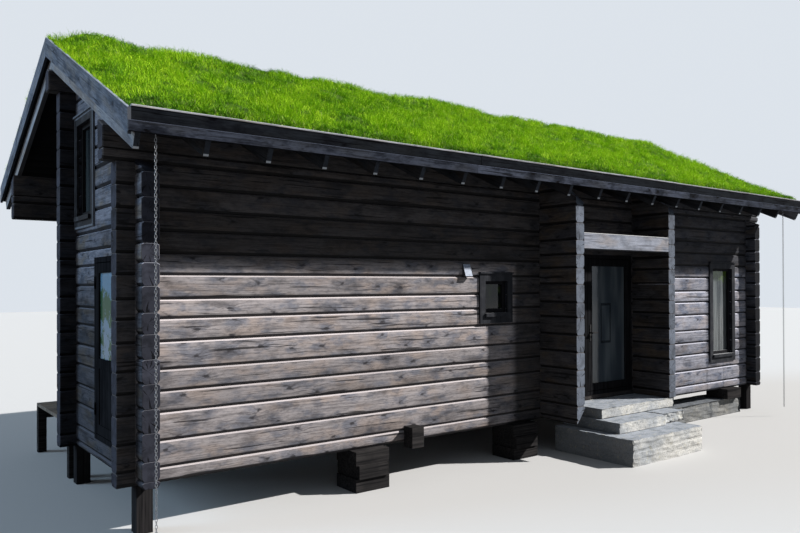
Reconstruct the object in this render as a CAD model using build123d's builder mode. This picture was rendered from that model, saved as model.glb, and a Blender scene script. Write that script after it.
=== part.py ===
"""Log cabin with a turf roof: notched log walls on low piers, a recessed entry and a rear porch.

Axes: X runs along the ridge, Y from the entry front to the back, Z up from the ground.
The origin is on the ground, in the middle of the cabin's whole reach.
"""

import math
import os

from build123d import *

# Overall sizes, outside face to outside face of the log walls
length = 10410
depth = 4200
sill_height = 420

# Log walls
log_thickness = 155
groove_depth = 20
groove_half_height = 14
stub = 160
top_log_reach = 270
top_log_joint = 97
log_pitch = 200
front_log_heights = [124, 231, 246, 187, 189, 244, 202, 172, 214, 188, 196, 185, 203, 200]
gable_log_heights = [59, 169, 240, 204, 212, 210, 213, 183, 226, 199, 164, 180, 211, 213, 205, 200, 195,
                     205, 200, 195, 205, 200]

# Roof, with heights above the wall's bottom and drops measured plumb below the verge's top edge
roof_pitch = 24.65
apex_height = 4366
verge_reach = 285
verge_board = 28
verge_drop = 205
turf_drop = 12
boards_drop = 160
rafter_drop = 185
rafter_bottom_drop = 335
rafter_width = 48
rafter_pitch = 564
rafter_tail = 705
flying_rafter_reach = 200
fascia_board = 25
fascia_height = 88
fascia_drop = 173
eave_reach = 750
turf_board_thickness = 36
turf_board_height = 144
turf_board_lift = 66
ridge_beam_height = 240

# Entry niche between the wing walls
wing_left = 5080
wing_right = 7035
wing_reach = 590
wing_foot_cut = 90
wing_foot_rise = 45
lintel_bottom = 2155
lintel_height = 200
lintel_edge = 8

# Entry door
door_left = 5970
door_width = 1040
floor_level = 210
door_opening_height = 1910
frame_face = 52
frame_depth = 120
frame_proud = 8
leaf_thickness = 42
leaf_gap = 8
leaf_rail = 95
glass_thickness = 6
hinge_radius = 8
hinge_offset = 9
pin_radius = 4
pin_setback = 6
hinge_clearance = 0.1
hinge_gap = 0.3
knuckle_height = 60
hinge_plate_width = 34
hinge_plate_thickness = 3
hinge_heights = [180, 1420]

# Gable door
gable_door_near = 310
gable_door_width = 960
gable_door_opening_height = 1790
gable_door_mid_rail = 740
gable_panel_depth = 10

# Windows
small_window_left = 4100
small_window_width = 391
small_window_bottom = 1332
small_window_height = 440
tall_window_left = 9158
tall_window_width = 614
tall_window_bottom = 530
tall_window_height = 1447
loft_window_near = 1348
loft_window_width = 564
loft_window_bottom = 2398
loft_window_height = 1024
rear_window_places = [4700, 7900]
rear_window_width = 900
rear_window_bottom = 1050
rear_window_height = 900
casing_face = 78
casing_thickness = 22
lining = 12
sash_face = 50
sash_recess = 30
sash_depth = 90
drip_board = 18
drip_reach = 40
drip_overhang = 6
sill_board = 45
sill_reach = 48

# Rear porch in the left back corner
porch_length = 3250
porch_post = 120
porch_post_place = 400
deck_thickness = 40
deck_beam_width = 98
deck_beam_height = 148
deck_post_places = [0, 1550, 3050]

# Floor and foundation
floor_thickness = 150
floor_beam_width = 160
floor_beam_place = 2890
floor_beam_reach = 150
floor_beam_drop = 50
floor_beam_height = 224
post_width = 140
crib_width = 420
crib_layer = 125
crib_setback = 25
crib_places_front = [2400, 4700, 9650]
crib_places_rear = [5200, 7600]
stone_top = 260
stone_slab = 150
stone_base_inset = 60
stone_left = 7820
stone_right = 9980
stone_depth = 520
stone_reach = 60
stone_splits = (80, 130)

# Stone steps
landing_left = 5550
landing_width = 1630
landing_reach = 600
landing_top = 155
landing_thickness = 125
landing_splits = (60, 16)
middle_left = 5470
middle_width = 1020
middle_reach = 925
middle_thickness = 130
middle_splits = (90, 24)
bottom_left = 5297
bottom_width = 1527
bottom_reach = 1240
bottom_slab = 120
bottom_base_inset = 70
bottom_splits = (120, 70)
stone_edge = 14
side_stone_width = 520
side_stone_setback = 60
side_stone_splits = (30, 110)

# Chains and fittings
chain_width = 26
chain_left = -60
chain_right = 10110
chain_reach = 690
chain_foot = 120
handle_height = 790
handle_reach = 55
plate_width = 24
plate_height = 220
plate_thickness = 8
lever_length = 110
lever_height = 18
lever_depth = 16
lamp_left = 3756
lamp_bottom = 1818
lamp_width = 109
lamp_height = 138
lamp_reach = 62
lamp_top_reach = 16

# Places worked out from the sizes above
slope = math.tan(math.radians(roof_pitch))
left = -length / 2
right = length / 2
front = (bottom_reach - eave_reach - depth) / 2
back = front + depth
ridge = (front + back) / 2
mid_wall_front = ridge - log_thickness / 2
mid_wall_back = ridge + log_thickness / 2
apex = sill_height + apex_height
floor_top = sill_height + floor_level


def running_levels(heights):
    """Joint levels above the ground, from a list of log heights laid bottom to top."""
    levels = [sill_height]
    for height in heights:
        levels.append(levels[-1] + height)
    return levels


front_levels = running_levels(front_log_heights)
gable_levels = running_levels(gable_log_heights)
wall_top = front_levels[-1]
rear_beam_bottom = front_levels[-2]


def roof_height(y, drop):
    """Height of a line that lies a plumb drop below the verge's top edge, at a place across the roof."""
    return apex - slope * abs(y - ridge) - drop


def grooved_outline(low, high, thickness, levels):
    """Section of a wall of stacked logs, flat faced, with a V groove at each joint."""
    inner = [z for z in levels if low + groove_half_height < z < high - groove_half_height]
    near_side = [(0, low)]
    for z in inner:
        near_side += [(0, z - groove_half_height), (groove_depth, z), (0, z + groove_half_height)]
    near_side.append((0, high))
    far_side = [(thickness - offset, z) for offset, z in reversed(near_side)]
    return near_side + far_side


def wall_along_x(x_start, x_end, y_face, low, high, levels):
    """Lay a log wall that runs along X, with its front face at y_face."""
    with BuildSketch(Plane.YZ.offset(x_start)) as section:
        with BuildLine():
            outline = grooved_outline(low, high, log_thickness, levels)
            Polyline(*[(y_face + offset, z) for offset, z in outline], close=True)
        make_face()
    extrude(section.sketch, amount=x_end - x_start)


def wall_along_y(y_start, y_end, x_face, low, high, levels):
    """Lay a log wall that runs along Y, with its left face at x_face."""
    with BuildSketch(Plane.XZ.offset(-y_end)) as section:
        with BuildLine():
            outline = grooved_outline(low, high, log_thickness, levels)
            Polyline(*[(x_face + offset, z) for offset, z in outline], close=True)
        make_face()
    extrude(section.sketch, amount=y_end - y_start)


def block(x_low, x_high, y_low, y_high, z_low, z_high, mode=Mode.ADD):
    """Add a box to the piece being made by the box's limits, or cut it away."""
    with Locations(((x_low + x_high) / 2, (y_low + y_high) / 2, (z_low + z_high) / 2)):
        Box(x_high - x_low, y_high - y_low, z_high - z_low, mode=mode)


def cut_away(x_low, x_high, y_low, y_high, z_low, z_high):
    """Cut a box away from the piece being made."""
    block(x_low, x_high, y_low, y_high, z_low, z_high, Mode.SUBTRACT)


def cut_above_roof(drop):
    """Cut the piece being made off at the roof's two slopes, a plumb drop below the verge line."""
    reach = depth / 2 + eave_reach + stub
    with BuildSketch(Plane.YZ.offset(left - length)) as space:
        with BuildLine():
            Polyline(
                (ridge - reach, roof_height(ridge - reach, drop)),
                (ridge, roof_height(ridge, drop)),
                (ridge + reach, roof_height(ridge + reach, drop)),
                (ridge + reach, apex + depth),
                (ridge - reach, apex + depth),
                close=True,
            )
        make_face()
    extrude(space.sketch, amount=3 * length, mode=Mode.SUBTRACT)


def notch_bands(for_front_logs):
    """Height bands that the crossing wall's logs fill at a notched corner."""
    bands = []
    for low, high in zip(front_levels, front_levels[1:]):
        middle = [z for z in gable_levels if low < z < high][0]
        bands.append((middle, high) if for_front_logs else (low, middle))
    return bands


def cut_notches(x_low, y_low, for_front_logs, top):
    """Cut the notches that another wall's logs fill where they pass through the wall being made."""
    with BuildSketch(Plane.XZ.offset(-y_low)) as crossing:
        for low, high in notch_bands(for_front_logs):
            if high <= top:
                with Locations((x_low + log_thickness / 2, (low + high) / 2)):
                    Rectangle(log_thickness, high - low)
    extrude(crossing.sketch, amount=-log_thickness, mode=Mode.SUBTRACT)


def save(part, name):
    """Label a finished piece and write it as its own file."""
    part.label = name
    export_step(part, f"parts/{name}.step")


os.makedirs("parts", exist_ok=True)

# Openings in the front wall
entry_left = left + door_left
entry_right = entry_left + door_width
entry_top = floor_top + door_opening_height
small_left = left + small_window_left
small_bottom = sill_height + small_window_bottom
tall_left = left + tall_window_left
tall_bottom = sill_height + tall_window_bottom

# Front wall, left of the entry, with the small window
with BuildPart() as front_wall_left:
    wall_along_x(left - stub, entry_left, front, sill_height, wall_top, front_levels)
    cut_notches(left, front, True, wall_top)
    cut_away(
        small_left, small_left + small_window_width, front - stub, front + 2 * stub,
        small_bottom, small_bottom + small_window_height,
    )
save(front_wall_left.part, "front_wall_left")

# Front wall, right of the entry, with the tall window
with BuildPart() as front_wall_right:
    wall_along_x(entry_right, right + stub, front, sill_height, wall_top, front_levels)
    cut_notches(right - log_thickness, front, True, wall_top)
    cut_away(
        tall_left, tall_left + tall_window_width, front - stub, front + 2 * stub,
        tall_bottom, tall_bottom + tall_window_height,
    )
save(front_wall_right.part, "front_wall_right")

# Top logs of both long walls, which run on under the verges and carry the rafters.
# The rear ones also span the porch.
log_start = left - top_log_reach
log_end = right + top_log_reach
with BuildPart() as top_logs:
    wall_along_x(log_start, log_end, front, wall_top, apex, [wall_top + top_log_joint])
    wall_along_x(
        log_start, log_end, back - log_thickness, rear_beam_bottom, apex,
        [wall_top, wall_top + top_log_joint],
    )
    cut_above_roof(rafter_bottom_drop)
save(top_logs.part, "top_logs")

# Left gable wall: the corner beside the door, over and under the door, and the part with the loft window
gable_door_start = front + gable_door_near
gable_door_end = gable_door_start + gable_door_width
gable_door_top = floor_top + gable_door_opening_height
loft_start = front + loft_window_near
loft_end = loft_start + loft_window_width
loft_bottom = sill_height + loft_window_bottom
loft_top = loft_bottom + loft_window_height
ridge_beam_top = apex - rafter_bottom_drop
ridge_beam_bottom = ridge_beam_top - ridge_beam_height


def cut_at_top_logs(x_low, x_high):
    """Cut a gable wall away where the long top logs and what stands on them pass through it."""
    cut_away(x_low, x_high, front - 2 * stub, front + log_thickness, wall_top, apex + depth)
    cut_away(x_low, x_high, back - log_thickness, back + 2 * stub, rear_beam_bottom, apex + depth)


with BuildPart() as gable_left_corner:
    wall_along_y(front - stub, gable_door_start, left, sill_height, apex, gable_levels)
    cut_notches(left, front, False, wall_top)
    cut_at_top_logs(left - stub, left + 2 * stub)
    cut_above_roof(rafter_drop)
save(gable_left_corner.part, "gable_left_corner")

# Walls over and under the two doors
with BuildPart() as walls_over_doors:
    wall_along_x(entry_left, entry_right, front, entry_top, wall_top, front_levels)
    wall_along_y(gable_door_start, gable_door_end, left, gable_door_top, apex, gable_levels)
    cut_above_roof(rafter_drop)
save(walls_over_doors.part, "walls_over_doors")

with BuildPart() as walls_under_doors:
    wall_along_x(entry_left, entry_right, front, sill_height, floor_top, front_levels)
    wall_along_y(gable_door_start, gable_door_end, left, sill_height, floor_top, gable_levels)
save(walls_under_doors.part, "walls_under_doors")

with BuildPart() as gable_left_window_wall:
    wall_along_y(gable_door_end, mid_wall_back + stub, left, sill_height, apex, gable_levels)
    cut_notches(left, mid_wall_front, False, wall_top)
    cut_away(left - stub, left + 2 * stub, mid_wall_front, mid_wall_back + 2 * stub, wall_top, apex + depth)
    cut_above_roof(rafter_drop)
    cut_away(left - stub, left + 2 * stub, loft_start, loft_end, loft_bottom, loft_top)
save(gable_left_window_wall.part, "gable_left_window_wall")

# Middle wall under the ridge, beside the rear porch
porch_wall_face = left + porch_length
upper_levels = [wall_top + log_pitch * number for number in range(1, 5)]
with BuildPart() as mid_wall:
    wall_along_x(
        left - stub, porch_wall_face + log_thickness, mid_wall_front,
        sill_height, ridge_beam_bottom, front_levels + upper_levels,
    )
    cut_notches(left, mid_wall_front, True, wall_top)
    cut_notches(porch_wall_face, mid_wall_front, True, wall_top)
save(mid_wall.part, "mid_wall")

# Side wall of the rear porch
with BuildPart() as porch_side_wall:
    wall_along_y(mid_wall_front, back + stub, porch_wall_face, sill_height, apex, gable_levels)
    cut_notches(porch_wall_face, mid_wall_front, False, wall_top)
    cut_notches(porch_wall_face, back - log_thickness, False, rear_beam_bottom)
    cut_away(
        porch_wall_face - stub, porch_wall_face + 2 * stub, mid_wall_front - stub, mid_wall_back,
        wall_top, apex + depth,
    )
    cut_at_top_logs(porch_wall_face - stub, porch_wall_face + 2 * stub)
    cut_above_roof(rafter_drop)
save(porch_side_wall.part, "porch_side_wall")

# Rear wall with two windows
rear_bottom = sill_height + rear_window_bottom
with BuildPart() as rear_wall:
    wall_along_x(
        porch_wall_face - stub, right + stub, back - log_thickness,
        sill_height, rear_beam_bottom, front_levels,
    )
    cut_notches(porch_wall_face, back - log_thickness, True, rear_beam_bottom)
    cut_notches(right - log_thickness, back - log_thickness, True, rear_beam_bottom)
    for place in rear_window_places:
        cut_away(
            left + place, left + place + rear_window_width, back - 2 * stub, back + stub,
            rear_bottom, rear_bottom + rear_window_height,
        )
save(rear_wall.part, "rear_wall")

# Right gable wall with a loft window
with BuildPart() as gable_wall_right:
    wall_along_y(front - stub, back + stub, right - log_thickness, sill_height, apex, gable_levels)
    cut_notches(right - log_thickness, front, False, wall_top)
    cut_notches(right - log_thickness, back - log_thickness, False, rear_beam_bottom)
    cut_at_top_logs(right - 2 * stub, right + stub)
    cut_away(right - 2 * stub, right + stub, mid_wall_front, mid_wall_back, ridge_beam_bottom, apex + depth)
    cut_above_roof(rafter_drop)
    cut_away(right - 2 * stub, right + stub, loft_start, loft_end, loft_bottom, loft_top)
save(gable_wall_right.part, "gable_wall_right")

# Ridge beam, beveled on top for the rafters
with BuildPart() as ridge_beam:
    block(log_start, log_end, mid_wall_front, mid_wall_back, ridge_beam_bottom, apex)
    cut_above_roof(rafter_bottom_drop)
save(ridge_beam.part, "ridge_beam")

# Wing walls on each side of the entry, the left one with a slanted foot, and the lintel between them
wing_front = front - wing_reach
with BuildPart() as wing_walls:
    for place in (wing_left, wing_right):
        wall_along_y(wing_front, front, left + place, sill_height, apex, gable_levels)
    cut_above_roof(rafter_bottom_drop)
    cut_away(
        left + wing_right - stub, left + wing_right + 2 * stub, wing_front - stub, front,
        0, sill_height + landing_top,
    )
    with BuildSketch(Plane.YZ.offset(left + wing_left)) as foot:
        with BuildLine():
            Polyline(
                (wing_front, sill_height),
                (wing_front + wing_foot_cut, sill_height),
                (wing_front, sill_height + wing_foot_rise),
                close=True,
            )
        make_face()
    extrude(foot.sketch, amount=log_thickness, mode=Mode.SUBTRACT)
save(wing_walls.part, "wing_walls")

lintel_low = sill_height + lintel_bottom
with BuildPart() as lintel_beam:
    block(
        left + wing_left + log_thickness, left + wing_right, wing_front, wing_front + log_thickness,
        lintel_low, lintel_low + lintel_height,
    )
    chamfer(lintel_beam.edges().filter_by(Axis.X), lintel_edge)
save(lintel_beam.part, "lintel_beam")

# Rafters at an even pitch from the left flying rafter, with the right flying rafter under its verge
flying_left = left - flying_rafter_reach
flying_right = right + flying_rafter_reach
rafter_count = int((flying_right - flying_left) // rafter_pitch)
rafter_places = [flying_left + rafter_pitch * number for number in range(rafter_count)] + [flying_right]


def roof_layer(side, drop_high, drop_low, reach_high, reach_low, thickness, places):
    """Lay pieces of one section on one slope, from each place along the ridge.

    side is -1 for the front slope and 1 for the rear one, and the reaches are level, from the ridge.
    """
    with BuildSketch(*[Plane.YZ.offset(place) for place in places]) as section:
        with BuildLine():
            Polyline(
                (ridge, apex - drop_high),
                (ridge + side * reach_high, apex - drop_high - slope * reach_high),
                (ridge + side * reach_low, apex - drop_low - slope * reach_low),
                (ridge, apex - drop_low),
                close=True,
            )
        make_face()
    extrude(section.sketch, amount=thickness)


tail_reach = depth / 2 + rafter_tail
tail_setback = (rafter_bottom_drop - rafter_drop) * math.cos(math.radians(roof_pitch)) ** 2 * slope
rafter_faces = [place - rafter_width / 2 for place in rafter_places]
for name, side in (("rafters_front", -1), ("rafters_rear", 1)):
    with BuildPart() as rafters:
        roof_layer(
            side, rafter_drop, rafter_bottom_drop, tail_reach, tail_reach - tail_setback,
            rafter_width, rafter_faces,
        )
    save(rafters.part, name)

# Roof boarding and turf on each slope, between the verge boards
verge_inner_left = left - verge_reach + verge_board
verge_inner_right = right + verge_reach - verge_board
verge_inner_length = verge_inner_right - verge_inner_left
boards_reach = depth / 2 + eave_reach - fascia_board
for name, side in (("roof_boards_front", -1), ("roof_boards_rear", 1)):
    with BuildPart() as boards:
        roof_layer(
            side, boards_drop, rafter_drop, boards_reach, boards_reach,
            verge_inner_length, [verge_inner_left],
        )
    save(boards.part, name)

turf_reach = boards_reach - turf_board_thickness
for name, side in (("turf_front", -1), ("turf_rear", 1)):
    with BuildPart() as turf:
        roof_layer(
            side, turf_drop, boards_drop, turf_reach, turf_reach,
            verge_inner_length, [verge_inner_left],
        )
    save(turf.part, name)

# Fascia along each eave, and the board above it that holds the turf
fascia_bottom = roof_height(front - eave_reach, fascia_drop)
with BuildPart() as fascias:
    for y_low in (front - eave_reach, back + eave_reach - fascia_board):
        block(
            left - verge_reach, right + verge_reach, y_low, y_low + fascia_board,
            fascia_bottom, fascia_bottom + fascia_height,
        )
save(fascias.part, "fascias")

turf_board_low = fascia_bottom + turf_board_lift
with BuildPart() as turf_boards:
    for y_low in (ridge - turf_reach - turf_board_thickness, ridge + turf_reach):
        block(
            verge_inner_left, verge_inner_right, y_low, y_low + turf_board_thickness,
            turf_board_low, turf_board_low + turf_board_height,
        )
save(turf_boards.part, "turf_boards")

# Verge boards, a mitred pair on each gable
with BuildPart() as verge_boards:
    for side in (-1, 1):
        roof_layer(
            side, 0, verge_drop, boards_reach, boards_reach, verge_board,
            [left - verge_reach, right + verge_reach - verge_board],
        )
save(verge_boards.part, "verge_boards")

# Floor inside the walls
floor_bottom = floor_top - floor_thickness
with BuildPart() as floor:
    block(
        left + log_thickness, right - log_thickness, front + log_thickness, mid_wall_front,
        floor_bottom, floor_top,
    )
    block(
        porch_wall_face + log_thickness, right - log_thickness, mid_wall_front, back - log_thickness,
        floor_bottom, floor_top,
    )
save(floor.part, "floor")

# Rear porch: deck on two beams with short posts
deck_back = back - log_thickness
deck_low = floor_top - deck_thickness
deck_beam_low = deck_low - deck_beam_height
with BuildPart() as porch_deck:
    block(left + log_thickness, porch_wall_face, mid_wall_back, deck_back, deck_low, floor_top)
    block(left, left + log_thickness, mid_wall_back + stub, deck_back, deck_low, floor_top)
save(porch_deck.part, "porch_deck")

# Beams of the deck, and the end of a floor beam that shows under the small window
with BuildPart() as floor_beams:
    for y_low in (mid_wall_back + stub, deck_back - deck_beam_width):
        block(left, porch_wall_face, y_low, y_low + deck_beam_width, deck_beam_low, deck_low)
        for place in deck_post_places:
            x_low = left + place
            block(x_low, x_low + deck_beam_width, y_low, y_low + deck_beam_width, 0, deck_beam_low)
    block(
        left + floor_beam_place, left + floor_beam_place + floor_beam_width, front - floor_beam_reach, front,
        sill_height - floor_beam_drop, sill_height - floor_beam_drop + floor_beam_height,
    )
save(floor_beams.part, "floor_beams")

# Posts under the wall corners, and the tall post under the rear top log of the porch
with BuildPart() as posts:
    post_x = left + porch_post_place
    post_y = back - log_thickness / 2 - porch_post / 2
    block(post_x, post_x + porch_post, post_y, post_y + porch_post, 0, rear_beam_bottom)
    inset = (log_thickness - post_width) / 2
    for x_wall, y_wall in (
        (left, front),
        (right - log_thickness, front),
        (left, mid_wall_front),
        (porch_wall_face, mid_wall_front),
        (porch_wall_face, back - log_thickness),
        (right - log_thickness, back - log_thickness),
    ):
        x_low = x_wall + inset
        y_low = y_wall + inset
        block(x_low, x_low + post_width, y_low, y_low + post_width, 0, sill_height)
save(posts.part, "posts")

# Cribs of stacked timber under the long walls: each layer lies across the one below it
with BuildPart() as timber_cribs:
    for y_centre, places in (
        (front + log_thickness / 2, crib_places_front),
        (back - log_thickness / 2, crib_places_rear),
    ):
        for place in places:
            on_stone = y_centre < ridge and stone_left < place < stone_right
            crib_bottom = stone_top if on_stone else 0
            layer_count = round((sill_height - crib_bottom) / crib_layer)
            layer_height = (sill_height - crib_bottom) / layer_count
            for number in range(layer_count):
                x_half = crib_width / 2 - crib_setback * (number % 2)
                y_half = crib_width / 2 - crib_setback * (1 - number % 2)
                layer_low = crib_bottom + layer_height * number
                block(
                    left + place - x_half, left + place + x_half, y_centre - y_half, y_centre + y_half,
                    layer_low, layer_low + layer_height,
                )
save(timber_cribs.part, "timber_cribs")


def stone(x_low, x_high, y_low, y_high, z_low, z_high, splits):
    """Lay a flat stone by its limits, with its two front corners split off at a slant."""
    left_split, right_split = splits
    with BuildSketch(Plane.XY.offset(z_low)) as outline:
        with BuildLine():
            Polyline(
                (x_low, y_high),
                (x_low, y_low + left_split),
                (x_low + left_split / 2, y_low),
                (x_high - right_split, y_low),
                (x_high, y_low + 2 * right_split),
                (x_high, y_high),
                close=True,
            )
        make_face()
    extrude(outline.sketch, amount=z_high - z_low)


# Long flat stone on a base of smaller ones, under the right part of the front wall
stone_front = front - stone_reach
with BuildPart() as foundation_stone:
    stone(
        left + stone_left, left + stone_right, stone_front, stone_front + stone_depth,
        stone_top - stone_slab, stone_top, stone_splits,
    )
    chamfer(foundation_stone.edges().group_by(Axis.Z)[-1], stone_edge)
    stone(
        left + stone_left + stone_base_inset, left + stone_right - stone_base_inset,
        stone_front + stone_base_inset, stone_front + stone_depth, 0, stone_top - stone_slab, stone_splits,
    )
save(foundation_stone.part, "foundation_stone")

# Stone steps, from the landing down to the ground
landing_high = sill_height + landing_top
landing_low = landing_high - landing_thickness
middle_low = landing_low - middle_thickness
with BuildPart() as landing_slab:
    stone(
        left + landing_left, left + landing_left + landing_width, front - landing_reach, front,
        landing_low, landing_high, landing_splits,
    )
    chamfer(landing_slab.edges().group_by(Axis.Z)[-1], stone_edge)
save(landing_slab.part, "landing_slab")

middle_right = left + middle_left + middle_width
with BuildPart() as middle_step:
    stone(
        left + middle_left, middle_right, front - middle_reach, front, middle_low, landing_low, middle_splits,
    )
    chamfer(middle_step.edges().group_by(Axis.Z)[-1], stone_edge)
save(middle_step.part, "middle_step")

with BuildPart() as side_stone:
    stone(
        middle_right, middle_right + side_stone_width, front - middle_reach + side_stone_setback, front,
        middle_low, landing_low, side_stone_splits,
    )
    chamfer(side_stone.edges().group_by(Axis.Z)[-1], stone_edge)
save(side_stone.part, "side_stone")

# Bottom step: a thin slab on a base of smaller stones
bottom_right = left + bottom_left + bottom_width
bottom_base = middle_low - bottom_slab
with BuildPart() as bottom_step:
    stone(
        left + bottom_left, bottom_right, front - bottom_reach, front,
        bottom_base, middle_low, bottom_splits,
    )
    chamfer(bottom_step.edges().group_by(Axis.Z)[-1], stone_edge)
    stone(
        left + bottom_left + bottom_base_inset, bottom_right - bottom_base_inset,
        front - bottom_reach + bottom_base_inset, front, 0, bottom_base, bottom_splits,
    )
save(bottom_step.part, "bottom_step")


def ring(along_x, run_low, run_high, face_low, face_high, z_low, z_high, rim):
    """Set a rectangular frame of one rim width in a wall that runs along X, or along Y."""
    plane = Plane.XZ.offset(-face_low) if along_x else Plane.YZ.offset(face_low)
    inward = -1 if along_x else 1
    with BuildSketch(plane) as outline:
        with Locations(((run_low + run_high) / 2, (z_low + z_high) / 2)):
            Rectangle(run_high - run_low, z_high - z_low)
            Rectangle(run_high - run_low - 2 * rim, z_high - z_low - 2 * rim, mode=Mode.SUBTRACT)
    extrude(outline.sketch, amount=inward * (face_high - face_low))


def rod(x, y, z_low, radius, height, mode=Mode.ADD):
    """Stand a round rod on a level, or bore a hole of its size."""
    with Locations((x, y, z_low)):
        Cylinder(radius, height, align=(Align.CENTER, Align.CENTER, Align.MIN), mode=mode)


def hinge_half(axis_x, axis_y, z_low, along_x, side, bored):
    """Set one half of a hinge: a knuckle, and a plate that runs to one side of it.

    A bored half turns on the pin, which the other half carries.
    """
    z_high = z_low + knuckle_height
    near = hinge_offset - hinge_plate_thickness
    run_low, run_high = sorted((0, side * hinge_plate_width))
    if along_x:
        block(axis_x + run_low, axis_x + run_high, axis_y + near, axis_y + hinge_offset, z_low, z_high)
    else:
        block(axis_x + near, axis_x + hinge_offset, axis_y + run_low, axis_y + run_high, z_low, z_high)
    rod(axis_x, axis_y, z_low, hinge_radius, knuckle_height)
    if bored:
        rod(axis_x, axis_y, z_low, pin_radius + hinge_clearance, knuckle_height, Mode.SUBTRACT)
    else:
        rod(axis_x, axis_y, z_high, pin_radius, knuckle_height - pin_setback)


def lever_handle(along_x, face, centre, height):
    """Set a long back plate with a lever on a leaf's outer face, in a wall along X or along Y."""
    plate_face = face - plate_thickness
    lever_face = face - handle_reach
    bar = lever_height / 2
    for face_low, face_high, run_low, run_high, half_height in (
        (plate_face, face, centre - plate_width / 2, centre + plate_width / 2, plate_height / 2),
        (lever_face, plate_face, centre - bar, centre + bar, bar),
        (lever_face, lever_face + lever_depth, centre - bar, centre + lever_length, bar),
    ):
        run = (run_low, run_high)
        across = (face_low, face_high)
        limits = (*run, *across) if along_x else (*across, *run)
        block(*limits, height - half_height, height + half_height)


# Entry door: frame in the wall, hinged leaf with a full glass, and its handle
leaf_face = front - frame_proud
leaf_left = entry_left + frame_face + leaf_gap
leaf_right = entry_right - frame_face - leaf_gap
leaf_low = floor_top + frame_face + leaf_gap
leaf_high = entry_top - frame_face - leaf_gap
front_axis_x = leaf_right + leaf_gap / 2
front_axis_y = leaf_face - hinge_offset
with BuildPart() as front_door_frame:
    ring(True, entry_left, entry_right, leaf_face, leaf_face + frame_depth, floor_top, entry_top, frame_face)
    for height in hinge_heights:
        hinge_half(front_axis_x, front_axis_y, leaf_low + height, True, 1, False)
save(front_door_frame.part, "front_door_frame")

with BuildPart() as front_door_leaf:
    ring(True, leaf_left, leaf_right, leaf_face, leaf_face + leaf_thickness, leaf_low, leaf_high, leaf_rail)
    for height in hinge_heights:
        knuckle_low = leaf_low + height + knuckle_height + hinge_gap
        hinge_half(front_axis_x, front_axis_y, knuckle_low, True, -1, True)
save(front_door_leaf.part, "front_door_leaf")

glass_face = leaf_face + leaf_thickness / 2 - glass_thickness / 2
with BuildPart() as front_door_glass:
    block(
        leaf_left + leaf_rail, leaf_right - leaf_rail, glass_face, glass_face + glass_thickness,
        leaf_low + leaf_rail, leaf_high - leaf_rail,
    )
save(front_door_glass.part, "front_door_glass")

handle_level = leaf_low + handle_height
with BuildPart() as front_door_handle:
    lever_handle(True, leaf_face, leaf_left + leaf_rail / 2, handle_level)
save(front_door_handle.part, "front_door_handle")

# Gable door: frame, hinged leaf with a pane over a sunk panel, and its handle
gable_face = left - frame_proud
gable_leaf_start = gable_door_start + frame_face + leaf_gap
gable_leaf_end = gable_door_end - frame_face - leaf_gap
gable_leaf_high = gable_door_top - frame_face - leaf_gap
gable_glass_low = leaf_low + gable_door_mid_rail
gable_axis_x = gable_face - hinge_offset
gable_axis_y = gable_leaf_end + leaf_gap / 2
with BuildPart() as gable_door_frame:
    ring(
        False, gable_door_start, gable_door_end, gable_face, gable_face + frame_depth,
        floor_top, gable_door_top, frame_face,
    )
    for height in hinge_heights:
        hinge_half(gable_axis_x, gable_axis_y, leaf_low + height, False, 1, False)
save(gable_door_frame.part, "gable_door_frame")

rail_start = gable_leaf_start + leaf_rail
rail_end = gable_leaf_end - leaf_rail
gable_leaf_back = gable_face + leaf_thickness
with BuildPart() as gable_door_leaf:
    block(gable_face, gable_leaf_back, gable_leaf_start, gable_leaf_end, leaf_low, gable_leaf_high)
    cut_away(gable_face, gable_leaf_back, rail_start, rail_end, gable_glass_low, gable_leaf_high - leaf_rail)
    for x_low in (gable_face, gable_leaf_back - gable_panel_depth):
        cut_away(
            x_low, x_low + gable_panel_depth, rail_start, rail_end,
            leaf_low + leaf_rail, gable_glass_low - leaf_rail,
        )
    for height in hinge_heights:
        knuckle_low = leaf_low + height + knuckle_height + hinge_gap
        hinge_half(gable_axis_x, gable_axis_y, knuckle_low, False, -1, True)
save(gable_door_leaf.part, "gable_door_leaf")

gable_glass_face = gable_face + leaf_thickness / 2 - glass_thickness / 2
with BuildPart() as gable_door_glass:
    block(
        gable_glass_face, gable_glass_face + glass_thickness, rail_start, rail_end,
        gable_glass_low, gable_leaf_high - leaf_rail,
    )
save(gable_door_glass.part, "gable_door_glass")

with BuildPart() as gable_door_handle:
    lever_handle(False, gable_face, gable_leaf_start + leaf_rail / 2, handle_level)
save(gable_door_handle.part, "gable_door_handle")


def window(along_x, run_low, width, outer, facing, z_low, height):
    """Set a window: casing, lining, a sash set back on a sill, and a drip board over them.

    outer is the wall's outer face, and facing is the way that it looks, -1 or 1.
    """
    run_high = run_low + width
    z_high = z_low + height

    def across(near, far):
        """Limits across the wall, from how far two faces stand out of it."""
        return sorted((outer + facing * near, outer + facing * far))

    casing = across(0, casing_thickness)
    ring(
        along_x, run_low - casing_face, run_high + casing_face, *casing,
        z_low - casing_face, z_high + casing_face, casing_face + lining,
    )
    sash = across(-sash_depth, -sash_recess)
    ring(along_x, run_low, run_high, *sash, z_low + sill_board, z_high, sash_face)
    boards = (
        (across(0, drip_reach), casing_face + drip_overhang, z_high + casing_face, drip_board),
        (across(-sash_depth, sill_reach), 0, z_low, sill_board),
    )
    for (face_low, face_high), overhang, board_low, board_height in boards:
        run = (run_low - overhang, run_high + overhang)
        face = (face_low, face_high)
        limits = (*run, *face) if along_x else (*face, *run)
        block(*limits, board_low, board_low + board_height)


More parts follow.
